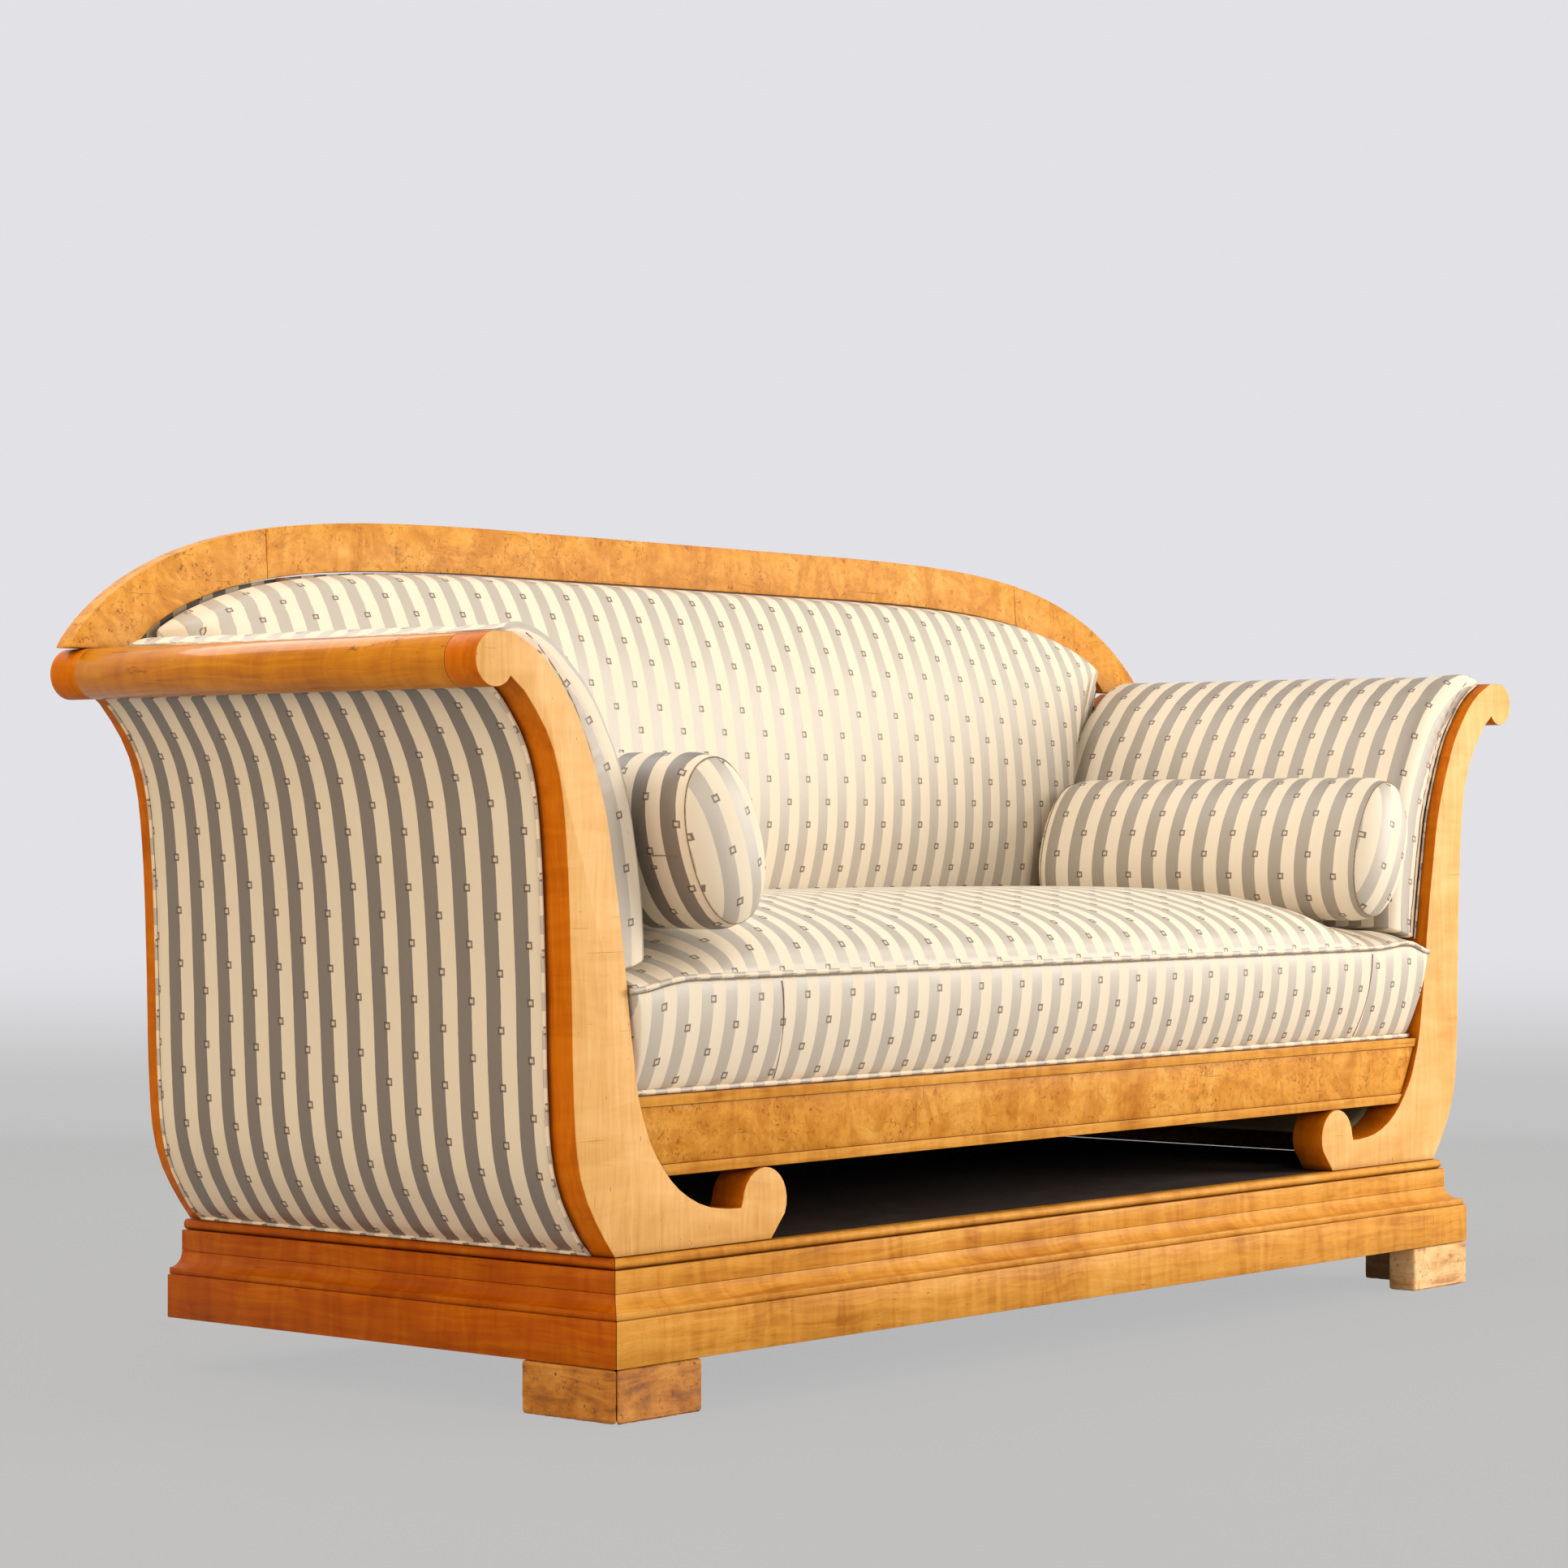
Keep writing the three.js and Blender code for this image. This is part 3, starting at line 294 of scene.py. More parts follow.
def striped_cloth(name, shift=0, lift=0, flip=1, period=42, spacing=62, greys=SHADED_GREYS, marks="cloth"):
    """Woven stripes with small open squares. Shift, lift, period and spacing are in millimetres."""
    t = Tree(name)
    place = t.add("ShaderNodeAttribute", attribute_name=marks).outputs["Vector"]
    split = t.split(place)
    waver = t.noise(place, 90.0, 2.0)
    across = t.times_plus(split[0], flip, shift * MM)
    across = t.plus(across, t.times_plus(waver, 0.8 * MM, -0.4 * MM))
    along = t.plus(split[1], lift * MM)
    turns = t.math("DIVIDE", across, period * MM)
    in_grey = t.math("LESS_THAN", t.math("FRACT", turns), GREY_SHARE)
    line, inside = motif_masks(t, turns, along, period * MM, spacing * MM)
    threads = t.math("SINE", t.times(across, 2 * math.pi / WARP_STEP))
    rows = t.math("SINE", t.times(along, 2 * math.pi / WEFT_STEP))
    stitched = t.times_plus(t.times(threads, rows), -0.2, 0.8)
    cloudy = t.noise(place, 7.0, 4.0)
    thread_noise = t.noise(t.stretch(place, (1600.0, 260.0, 1.0)), 1.0, 2.0)
    cross_noise = t.noise(t.stretch(place, (220.0, 1500.0, 1.0)), 1.0, 2.0)
    cream = t.mix(cloudy, rgba("E8D8BE"), rgba("EEE1CB"))
    grey = t.mix(cross_noise, rgba(greys[0]), rgba(greys[1]))
    colour = t.mix(in_grey, cream, grey)
    colour = t.stain(colour, thread_noise, 0.12, "B09F85")
    colour = t.mix(inside, colour, rgba("D3BFA2"))
    colour = t.mix(t.times(line, stitched), colour, rgba("3E2A22"))
    spots = t.level(t.noise(place, 28.0, 2.0), 0.74, 0.80)
    colour = t.stain(colour, spots, 0.22, "B9976A")
    rough = t.mix_value(in_grey, 0.78, 0.50)
    height = t.times_plus(threads, 0.2, t.times_plus(rows, 0.3, thread_noise))
    height = t.times_plus(line, 0.3, height)
    return t.surface(colour, rough, height, 0.22, 0.25 * MM, IOR=1.8)


def plain_weave(name, dark, pale, scale=900.0):
    """Coarse unbleached lining."""
    t = Tree(name)
    place = t.object_place()
    warp = t.noise(t.stretch(place, (scale, scale / 12, scale / 12)), 1.0, 2.0)
    weft = t.noise(t.stretch(place, (scale / 12, scale / 12, scale)), 1.0, 2.0)
    both = t.times(t.plus(warp, weft), 0.5)
    colour = t.stain(t.mix(both, rgba(dark), rgba(pale)), t.noise(place, 6.0, 4.0), 0.35, "4A3B2A")
    return t.surface(colour, 0.95, both, 0.4, 0.5 * MM)


def thread_material(name, dark, pale):
    """Waxed sewing thread: lays of two browns along its length."""
    t = Tree(name)
    lay = t.noise(t.object_place(), 700.0, 2.0)
    colour = t.mix(t.level(lay, 0.4, 0.6), rgba(dark), rgba(pale))
    return t.surface(colour, 0.7, lay, 0.5, 0.3 * MM)


# Wood materials. A grain is the stretch of the figure along X, Y and Z, and tones run from deep to pale
ALONG_X = (0.35, 6.0, 6.0)
ALONG_Y = (6.0, 0.35, 6.0)
ALONG_Z = (6.0, 6.0, 0.35)
FOOT_GRAIN = (0.6, 0.6, 3.0)
BURL_GRAIN = (1.2, 3.0, 2.4)
# Painted light: the honey tones on the faces towards the light and the amber tones on the side faces are lit
# and shaded copies of one wood, the amber a painted shade with warm bounce light
LIT_HONEY = ("B06C20", "D8963C", "EAB058")
LIT_SCROLL_HONEY = ("D89E54", "EAB46E", "F3C888")
SHADED_AMBER = ("963F00", "AE5200", "C66E0A")
ROLL_AMBER = ("AA6000", "C67A00", "DC9210")
SHADED_EDGE_AMBER = ("AE5602", "CC6C04", "DC8014")
BURL = ("BC7622", "DC983C", "EAB058")
FOOT_BROWN = ("703A06", "BA7218", "DE9C42")
PALE_BROWN = ("A4692C", "EBB878", "FAD6A4")
PLAIN_BROWN = ("5A3C22", "8A6238", "A98254")
# Near-black tones for the inner pieces are a painted shade for the dark inside of the frame
SHADE_DARK_BROWN = ("120A06", "22140B", "3A2414")
POLISHED_PLACES = (0.40, 0.56, 0.74)
RAW_PLACES = (0.36, 0.52, 0.72)
POLISH_ROUGHNESS = 0.36
POLISH_IOR = 1.16
CREVICE_REACH = 9 * MM


def burl_figure(t, warped, colour, deep, burl):
    """Swirls, knots, eyes and patches of small specks."""
    knots = t.noise(warped, 26.0, 6.0, 0.62, 3.5)
    swirl = t.noise(warped, 9.0, 6.0, 0.6, 4.0)
    eyes = t.noise(warped, 60.0, 4.0, 0.6, 1.5)
    colour = t.stain(colour, t.level(swirl, 0.46, 0.66), 0.62 * burl, deep)
    colour = t.stain(colour, t.level(knots, 0.58, 0.74), 0.5 * burl, "A05C1A")
    colour = t.stain(colour, t.level(eyes, 0.60, 0.72), 0.6 * burl, "8A4A10")
    specks = t.noise(warped, 190.0, 3.0, 0.6, 0.8)
    patches = t.level(t.noise(warped, 12.0, 3.0, 0.6), 0.42, 0.62)
    speckled = t.times(t.level(specks, 0.56, 0.68), t.times_plus(patches, 0.55, 0.12))
    return t.stain(colour, speckled, burl, "6E3408")


def wear_marks(t, place):
    """Dents and scratches in two directions."""
    dents = t.level(t.noise(t.stretch(place, (60.0, 60.0, 190.0), (0.5, 0.7, 0.3)), 1.0, 2.0), 0.76, 0.79)
    flat = t.stretch(place, (10.0, 10.0, 420.0), (0.2, 0.25, 0.1))
    steep = t.stretch(place, (420.0, 14.0, 14.0), (0.1, 0.5, 0.6))
    scratch_a = t.level(t.noise(flat, 1.0, 1.0), 0.765, 0.785)
    scratch_b = t.level(t.noise(steep, 1.0, 1.0), 0.77, 0.79)
    return t.math("MAXIMUM", dents, t.math("MAXIMUM", scratch_a, scratch_b))


def polished_wood(name, tones, grain, figure, burl=0.0, wear=0.4, coat=0.04, coat_gloss=0.22,
                  edge_shade_tones=None, scuffs=0.0):
    """Polished birch veneer. Edge tones are for the faces that don't look to the front or back, as painted
    shade.
    """
    t = Tree(name)
    coordinates = t.add("ShaderNodeTexCoord").outputs
    place = coordinates["Object"]
    swirls = t.add("ShaderNodeTexNoise", {"Vector": place, "Scale": 4.0, "Detail": 3.0}).outputs["Color"]
    warped = t.mix(0.035, place, swirls, "ADD")
    along = t.stretch(warped, grain)
    streak = t.noise(along, 18.0, 5.0, 0.62, 0.6)
    fine = t.noise(along, 95.0, 4.0, 0.7)
    cloud = t.noise(warped, 5.5, 4.0, 0.55, 0.8)
    across = t.stretch(warped, tuple(1.0 if g > 2 else 5.0 for g in grain))
    flame = t.noise(across, 7.0, 3.0, 0.5, 1.2)
    tone = t.times_plus(streak, 0.42, t.times_plus(cloud, 0.38, t.times(flame, 0.30)))
    colour = t.ramp(tone, POLISHED_PLACES, tones)
    colour = t.stain(colour, t.level(fine, 0.50, 0.72), 0.26 * figure + 0.08, tones[0])
    if burl:
        colour = burl_figure(t, warped, colour, tones[0], burl)
    fleck_place = t.stretch(place, tuple(g * 0.5 + 1 for g in grain))
    flecks = t.level(t.noise(fleck_place, 62.0, 2.0, 0.5), 0.72, 0.76)
    colour = t.stain(colour, flecks, 0.6, "6E3809")
    # Painted shade: faces that don't look to the front or back take the deeper edge tones
    if edge_shade_tones:
        facing = t.math("ABSOLUTE", t.split(coordinates["Normal"])[1])
        on_edge = t.minus(1.0, t.level(facing, 0.45, 0.85))
        colour = t.mix(on_edge, colour, t.ramp(tone, POLISHED_PLACES, edge_shade_tones))
    if scuffs:
        scuffed = t.level(t.noise(t.stretch(place, (34.0, 15.0, 58.0)), 1.0, 5.0, 0.7), 0.61, 0.69)
        colour = t.stain(colour, scuffed, scuffs, "5E2E08")
    marks = wear_marks(t, place)
    colour = t.stain(colour, marks, wear, "5C300F")
    # Painted shade in crevices and grooves from an ambient occlusion node, which also stands for dirt in the
    # mouldings' joints
    crevice = t.add("ShaderNodeAmbientOcclusion", {"Distance": CREVICE_REACH}, samples=2, only_local=False)
    dirt_and_crevice_shade = t.minus(1.0, t.level(crevice.outputs["AO"], 0.25, 0.85))
    colour = t.stain(colour, dirt_and_crevice_shade, 0.6, "4E2607")
    rough = t.times_plus(t.noise(place, 14.0, 4.0), 0.16, POLISH_ROUGHNESS)
    rough = t.times_plus(marks, 0.25, rough)
    height = t.times_plus(fine, 0.25, t.times_plus(marks, -1.6, t.times(streak, 0.3)))
    return t.surface(colour, rough, height, 0.25, 0.5 * MM, Coat_Weight=coat, Coat_Roughness=coat_gloss,
                     IOR=POLISH_IOR)


def raw_wood(name, tones, grain, decay):
    """Bare or worn wood with open pores, grime and worm holes."""
    t = Tree(name)
    place = t.object_place()
    streak = t.noise(t.stretch(place, grain), 24.0, 5.0, 0.65, 0.7)
    blotch = t.noise(place, 22.0, 5.0, 0.6, 0.5)
    colour = t.ramp(t.times_plus(streak, 0.55, t.times(blotch, 0.5)), RAW_PLACES, tones)
    holes = t.add("ShaderNodeTexVoronoi", {"Vector": place, "Scale": 95.0}).outputs["Distance"]
    bored = t.times(t.minus(1.0, t.level(holes, 0.12, 0.2)), t.level(blotch, 0.5, 0.62))
    colour = t.stain(colour, bored, decay, "2E180A")
    pits = t.level(t.noise(place, 130.0, 4.0, 0.7), 0.56, 0.70)
    colour = t.stain(colour, pits, decay * 0.8, "4A2A12")
    height = t.times_plus(pits, -0.8, t.times_plus(bored, -2.0, streak))
    return t.surface(colour, t.times_plus(blotch, 0.2, 0.55), height, 0.5, 0.8 * MM)


honey_along = polished_wood("honey_birch_along", LIT_HONEY, ALONG_X, 0.7, burl=0.15)
honey_upright = polished_wood("honey_birch_upright", LIT_SCROLL_HONEY, ALONG_Z, 0.4, burl=0.05,
                              edge_shade_tones=SHADED_EDGE_AMBER)
shaded_amber_side = polished_wood("amber_birch_side_shaded", SHADED_AMBER, ALONG_Y, 0.6, wear=0.5, coat=0.08)
amber_roll = polished_wood("amber_birch_roll", ROLL_AMBER, ALONG_Y, 0.6, wear=0.6, coat=0.5,
                           coat_gloss=0.08, scuffs=0.7)
burl_veneer = polished_wood("burl_birch_veneer", BURL, BURL_GRAIN, 0.8, burl=1.0, wear=0.5, scuffs=0.25)
foot_wood = {
    "left": raw_wood("worn_foot_wood", FOOT_BROWN, FOOT_GRAIN, 0.75),
    "right": raw_wood("pale_foot_wood", PALE_BROWN, FOOT_GRAIN, 0.5),
}
plain_inside = raw_wood("plain_inner_wood", PLAIN_BROWN, ALONG_X, 0.25)
# Painted shade: the inner pieces take near-black wood
shade_dark_inside = raw_wood("shade_dark_inner_wood", SHADE_DARK_BROWN, ALONG_X, 0.4)
brown_thread = thread_material("brown_thread", "6E5C48", "A08C70")
lining_weave = plain_weave("lining_weave", "8C7A60", "B9A684")

# Clean shading for the frame's own pieces
JOIN_DISTANCE = 0.02 * MM
FLAT_ANGLE = math.radians(0.4)
SHADE_ANGLE = math.radians(32)
BEVEL_ANGLE = math.radians(34)
SCROLL_EDGE = 1.1 * MM
CREST_EDGE = 1.2 * MM
BOARD_EDGE = 1.0 * MM
STRIP_EDGE = 0.8 * MM
MOULDING_EDGE = 0.5 * MM
ROLL_EDGE = 0.4 * MM
FOOT_EDGE = 2.2 * MM
FOOT_DENTS = 1.6 * MM
FOOT_CELL = 2.4 * MM


def geometry_group(name):
    """An empty node group with its first and last node."""
    group = bpy.data.node_groups.new(name, "GeometryNodeTree")
    for direction in ("INPUT", "OUTPUT"):
        group.interface.new_socket("Geometry", in_out=direction, socket_type="NodeSocketGeometry")
    return group, group.nodes.new("NodeGroupInput"), group.nodes.new("NodeGroupOutput")


def joining_group():
    """Joins split corners and drops the mesh's stored normals."""
    group, first, last = geometry_group("join_corners")
    clear = group.nodes.new("GeometryNodeRemoveAttribute")
    clear.inputs["Name"].default_value = "custom_normal"
    merge = group.nodes.new("GeometryNodeMergeByDistance")
    merge.inputs["Distance"].default_value = JOIN_DISTANCE
    group.links.new(first.outputs[0], clear.inputs[0])
    group.links.new(clear.outputs[0], merge.inputs[0])
    group.links.new(merge.outputs[0], last.inputs[0])
    return group


def shading_group():
    """Shades smooth, but for edges that turn by more than an angle."""
    group, first, last = geometry_group("shade_by_angle")
    faces = group.nodes.new("GeometryNodeSetShadeSmooth")
    edges = group.nodes.new("GeometryNodeSetShadeSmooth")
    edges.domain = "EDGE"
    edges.inputs["Shade Smooth"].default_value = False
    angle = group.nodes.new("GeometryNodeInputMeshEdgeAngle")
    above = group.nodes.new("ShaderNodeMath")
    above.operation = "GREATER_THAN"
    above.inputs[1].default_value = SHADE_ANGLE
    group.links.new(first.outputs[0], faces.inputs["Geometry"])
    group.links.new(faces.outputs[0], edges.inputs["Geometry"])
    group.links.new(angle.outputs[0], above.inputs[0])
    group.links.new(above.outputs[0], edges.inputs["Selection"])
    group.links.new(edges.outputs[0], last.inputs[0])
    return group


join_corners = joining_group()
shade_by_angle = shading_group()


def add_modifier(piece, name, kind, **settings):
    modifier = piece.modifiers.new(name, kind)
    for key, value in settings.items():
        setattr(modifier, key, value)
    return modifier


def add_dents(node):
    """A dented surface, for the worn feet."""
    add_modifier(node, "cells", "REMESH", mode="VOXEL", voxel_size=FOOT_CELL)
    dents = bpy.data.textures.new(node.name + "_dents", "CLOUDS")
    dents.noise_scale = 4 * FOOT_CELL
    dents.noise_depth = 3
    add_modifier(node, "dents", "DISPLACE", texture=dents, strength=FOOT_DENTS, mid_level=0.62)


def dress(node_name, material, width, segments=2, dented=False):
    """Gives a frame piece its wood, and joins, bevels and shades it."""
    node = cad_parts[node_name]
    node.data.materials.clear()
    node.data.materials.append(material)
    add_modifier(node, "join", "NODES", node_group=join_corners)
    add_modifier(node, "flat", "DECIMATE", decimate_type="DISSOLVE", angle_limit=FLAT_ANGLE)
    add_modifier(node, "edge", "BEVEL", width=width, segments=segments, limit_method="ANGLE",
                 angle_limit=BEVEL_ANGLE, use_clamp_overlap=True)
    if dented:
        add_dents(node)
    add_modifier(node, "shade", "NODES", node_group=shade_by_angle)


def dress_woods():
    for place, material in (("front", honey_along), ("left", shaded_amber_side), ("right", shaded_amber_side)):
        dress(f"plinth_board_{place}", material, CREST_EDGE)
        for strip in ("cove_moulding", "frieze_board", "bead_moulding"):
            dress(f"{strip}_{place}", material, MOULDING_EDGE)
    for side, _ in SIDES:
        dress(f"scroll_board_front_{side}", honey_upright, SCROLL_EDGE, segments=3)
        dress(f"scroll_board_back_{side}", honey_upright, SCROLL_EDGE, segments=3)
        dress(f"arm_roll_{side}", amber_roll, ROLL_EDGE)
        for name in (f"arm_rail_top_{side}", f"arm_rail_bottom_{side}", f"back_stile_{side}"):
            dress(name, plain_inside, BOARD_EDGE)
        for leg in ("front_leg", "side_leg", "rear"):
            dress(f"foot_{side}_{leg}", foot_wood[side], FOOT_EDGE, dented=True)
        dress(f"seat_rail_{side}", shade_dark_inside, BOARD_EDGE)
    for place in ("left", "right", "centre"):
        dress(f"crest_rail_{place}", burl_veneer, CREST_EDGE, segments=3)
    dress("seat_rail_front", burl_veneer, STRIP_EDGE)
    for strip in ("lower", "upper"):
        dress(f"seat_rail_{strip}_strip", honey_along, STRIP_EDGE)
    for name in ("plinth_board_back", "seat_rail_back"):
        dress(name, plain_inside, BOARD_EDGE)
    for name in ("plinth_deck", "seat_ledge_front", "slot_board_back"):
        dress(name, shade_dark_inside, STRIP_EDGE)
    for number in (1, 2, 3):
        dress(f"seat_slat_{number}", shade_dark_inside, STRIP_EDGE)


# Mesh helpers
CORD_STEP = 4 * MM


def plain_mesh(name, points, faces, materials):
    """A smooth mesh and its object, in the scene."""
    mesh = bpy.data.meshes.new(name)
    mesh.from_pydata([tuple(map(float, p)) for p in points], [], [tuple(f) for f in faces])
    mesh.validate()
    for material in materials:
        mesh.materials.append(material)
    mesh.polygons.foreach_set("use_smooth", [True] * len(mesh.polygons))
    piece = bpy.data.objects.new(name, mesh)
    bpy.context.scene.collection.objects.link(piece)
    return piece


def make_piece(name, points, faces, materials, marks, body=SOFA):
    """A new piece that rides on a body; marks has its points' places on the cloth, by layer."""
    piece = plain_mesh(name, points, faces, materials)
    for layer_name, values in marks.items():
        layer = piece.data.attributes.new(layer_name, "FLOAT_VECTOR", "POINT")
        layer.data.foreach_set("vector", np.asarray(values, np.float32).ravel())
    turn_faces_out(piece)
    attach(piece, body)
    return piece


def turn_faces_out(piece):
    work = bmesh.new()
    work.from_mesh(piece.data)
    bmesh.ops.recalc_face_normals(work, faces=work.faces)
    if work.calc_volume(signed=True) < 0:
        bmesh.ops.reverse_faces(work, faces=work.faces)
    work.to_mesh(piece.data)
    work.free()


def loop_grid(columns, rows, closed_caps=True):
    """Faces of a tube: columns rings of rows points each, with a face at both ends."""
    faces = []
    for i in range(columns - 1):
        for j in range(rows):
            k = (j + 1) % rows
            faces.append((i * rows + j, i * rows + k, (i + 1) * rows + k, (i + 1) * rows + j))
    if closed_caps:
        faces.append(tuple(range(rows)))
        faces.append(tuple((columns - 1) * rows + j for j in reversed(range(rows))))
    return faces


def make_cover(name, rings, material, places=None):
    """A closed cover from rings of points; places has each point's place on the cloth, ring by ring."""
    points = [point for ring in rings for point in ring]
    marks = {"cloth": places} if places else {}
    return make_piece(name, points, loop_grid(len(rings), len(rings[0])), [material], marks)


def tube(name, path, radius, material, body=SOFA, sides=10, up=(0.0, 0.0, 1.0), closed=False):
    """A round cord along a path, with its length as the cloth's first coordinate."""
    total = arc_lengths(path)[-1]
    count = max(int(total / CORD_STEP), 4)
    line = even_line(path, count)
    if closed:
        line = line[:-1]
    ahead = np.roll(line, -1, axis=0) - np.roll(line, 1, axis=0)
    if not closed:
        ahead[0] = line[1] - line[0]
        ahead[-1] = line[-1] - line[-2]
    ahead /= np.linalg.norm(ahead, axis=1)[:, None]
    points = []
    places = []
    for k, (centre, direction) in enumerate(zip(line, ahead)):
        side = np.cross(direction, up)
        if np.linalg.norm(side) < 0.2:
            side = np.cross(direction, (0.0, 1.0, 0.0) if abs(direction[1]) < 0.8 else (1.0, 0.0, 0.0))
        side /= np.linalg.norm(side)
        top = np.cross(side, direction)
        for angle in np.arange(sides) * 2 * math.pi / sides:
            points.append(centre + radius * (math.cos(angle) * side + math.sin(angle) * top))
            places.append((total * k / count, radius * angle, 0))
    faces = loop_grid(len(line), sides, not closed)
    if closed:
        last = (len(line) - 1) * sides
        for j in range(sides):
            k = (j + 1) % sides
            faces.append((last + j, last + k, k, j))
    return make_piece(name, points, faces, [material], {"cloth": places}, body=body)


def add_thread(name, path, body=SOFA, **form):
    tube(name, path, THREAD_RADIUS, brown_thread, body=body, sides=6, **form)


def add_subdivision(piece):
    add_modifier(piece, "smooth", "SUBSURF", levels=1, render_levels=1)


# Cloth simulation
SIMULATION_FRAMES = 12
CLOTH_SETTINGS = {
    "quality": 3,
    "mass": 0.25,
    "tension_stiffness": 15,
    "compression_stiffness": 15,
    "shear_stiffness": 5,
    "bending_stiffness": 0.5,
    "use_pressure": True,
    "vertex_group_mass": "held",
    "pin_stiffness": 1.0,
}


def places_of(mesh):
    values = np.empty(len(mesh.vertices) * 3, np.float32)
    mesh.vertices.foreach_get("co", values)
    return values


def inflate(piece, held, cap, pressure=2.0):
    """Cloth simulation: held has each point's hold from 0 to 1, and cap limits how far a point moves."""
    scene = bpy.context.scene
    mesh = piece.data
    before = places_of(mesh)
    group = piece.vertex_groups.new(name="held")
    for k, weight in enumerate(np.ravel(held)):
        group.add([k], float(weight), "REPLACE")
    cloth = piece.modifiers.new("cloth", "CLOTH")
    for key, value in CLOTH_SETTINGS.items():
        setattr(cloth.settings, key, value)
    cloth.settings.uniform_pressure_force = pressure
    cloth.settings.effector_weights.gravity = 0
    cloth.collision_settings.use_collision = False
    cloth.collision_settings.use_self_collision = False
    cloth.point_cache.frame_start = 1
    cloth.point_cache.frame_end = SIMULATION_FRAMES
    for number in range(1, SIMULATION_FRAMES + 1):
        scene.frame_set(number)
    after = places_of(piece.evaluated_get(bpy.context.evaluated_depsgraph_get()).data)
    piece.modifiers.remove(cloth)
    piece.vertex_groups.clear()
    move = (after - before).reshape(-1, 3)
    far = np.linalg.norm(move, axis=1)
    limit = cap * np.tanh(far / cap) / np.maximum(far, 1e-9)
    mesh.vertices.foreach_set("co", before + (move * limit[:, None]).ravel())
    mesh.update()
    scene.frame_set(1)
    print(f"{piece.name}: moved {far.mean() * 1000:.1f} mm on average, {far.max() * 1000:.1f} at most")


# Bolsters' sizes, which the seat needs for its hollows
BOLSTER_WIDTH = 127 * MM
BOLSTER_HEIGHT = 207.4 * MM
BOLSTER_DOME = 25 * MM
BOLSTER_END_REACH = 25.7 * MM
BOLSTER_POWER = 2.2
BOLSTER_SEAM_SHARE = 0.93
BOLSTER_AROUND = 96
DOME_STEPS = 11
CLOSING_SEAM_STEP = 17.7 * MM
BOLSTER_LEAN = 0.37
COS_LEAN = math.cos(BOLSTER_LEAN)
SIN_LEAN = math.sin(BOLSTER_LEAN)
LOWEST_SET_IN = (BOLSTER_HEIGHT**2 - BOLSTER_WIDTH**2) * SIN_LEAN * COS_LEAN / (
    2 * math.hypot(BOLSTER_HEIGHT * COS_LEAN, BOLSTER_WIDTH * SIN_LEAN))
BOLSTERS = {}
for label, sign in SIDES:
    low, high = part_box(f"bolster_{label}")
    BOLSTERS[label] = {
        "sign": sign,
        "x": (low[0] + high[0]) / 2,
        "z": (low[2] + high[2]) / 2,
        "front": low[1] + BOLSTER_END_REACH,
        "rear": high[1] - BOLSTER_END_REACH,
    }

# Seat
SEAT_EDGE_Z = 482 * MM
SEAT_FOOT_SET_IN = 21 * MM
BOXING_BULGE = 12.5 * MM
BOXING_POWER = 0.6
BOXING_END_SHARE = 0.35
JUNCTION_RISE = 21 * MM
JUNCTION_SHARE = 0.2
FOOT_SINK = 8 * MM
FOOT_SINK_REACH = 5 * MM
SEAT_CROWN = 86 * MM
SEAT_SUMMIT_SHARE = 0.53
SEAT_REAR_DROP = 0.22
SEAT_FRONT_POWER = 3
SEAT_FRONT_SOFTNESS = 0.42
SEAT_SIDE_POWER = 16
SEAT_OVERHANG = 6.4 * MM
SEAT_SETTLE = 17 * MM
HOLLOW_DEPTH = 30 * MM
HOLLOW_REACH = 105 * MM
SEAT_BOTTOM = strip_high[2] + 2 * JOINT_GAP
SEAT_FRONT_Y = FACE_Y - SEAT_OVERHANG
SEAT_FOOT_Y = FACE_Y + SEAT_FOOT_SET_IN
SEAT_REAR_Y = back_high[1] - SOFT_GAP
SEAT_DEPTH = SEAT_REAR_Y - SEAT_FRONT_Y
SEAT_HALF_TOP = inner_x(SEAT_EDGE_Z) - SOFT_GAP
SEAT_HALF_BOTTOM = inner_x(SEAT_BOTTOM) - SOFT_GAP
ARM_THICKNESS = 74 * MM
PAD_FOOT_SHARE = 0.14
ARM_FOOT_X = inner_x(SEAT_EDGE_Z) - ARM_THICKNESS * (1 - PAD_FOOT_SHARE)
SEAT_DOME_HALF = ARM_FOOT_X - 2 * SOFT_GAP
LEFT_DIP = 13 * MM
LEFT_DIP_REACH = 130 * MM
RIGHT_RISE = 5 * MM
RIGHT_RISE_X = 770 * MM
RIGHT_RISE_REACH = 40 * MM
RIGHT_DROP = 9 * MM
RIGHT_DROP_REACH = 55 * MM
WELT_FADE = 60 * MM
BOXING_SEAMS = (-590 * MM, 686 * MM)
SEAT_COLUMNS = 150
SEAT_UNDER_ROWS = 9
BOXING_ROWS = 14
SEAT_TOP_ROWS = 44
SEAT_REAR_ROWS = 6


def welt_dip(x):
    """The front piping dips towards the left arm, and rises a little before it drops at the right one."""
    left = -LEFT_DIP * smooth_step((-x - SEAT_HALF_TOP + LEFT_DIP_REACH) / LEFT_DIP_REACH) ** 2
    right = RIGHT_RISE * math.exp(-((x - RIGHT_RISE_X) / RIGHT_RISE_REACH) ** 2)
    drop = RIGHT_DROP * smooth_step((x - SEAT_HALF_TOP + RIGHT_DROP_REACH) / RIGHT_DROP_REACH)
    return float(left + right - drop)


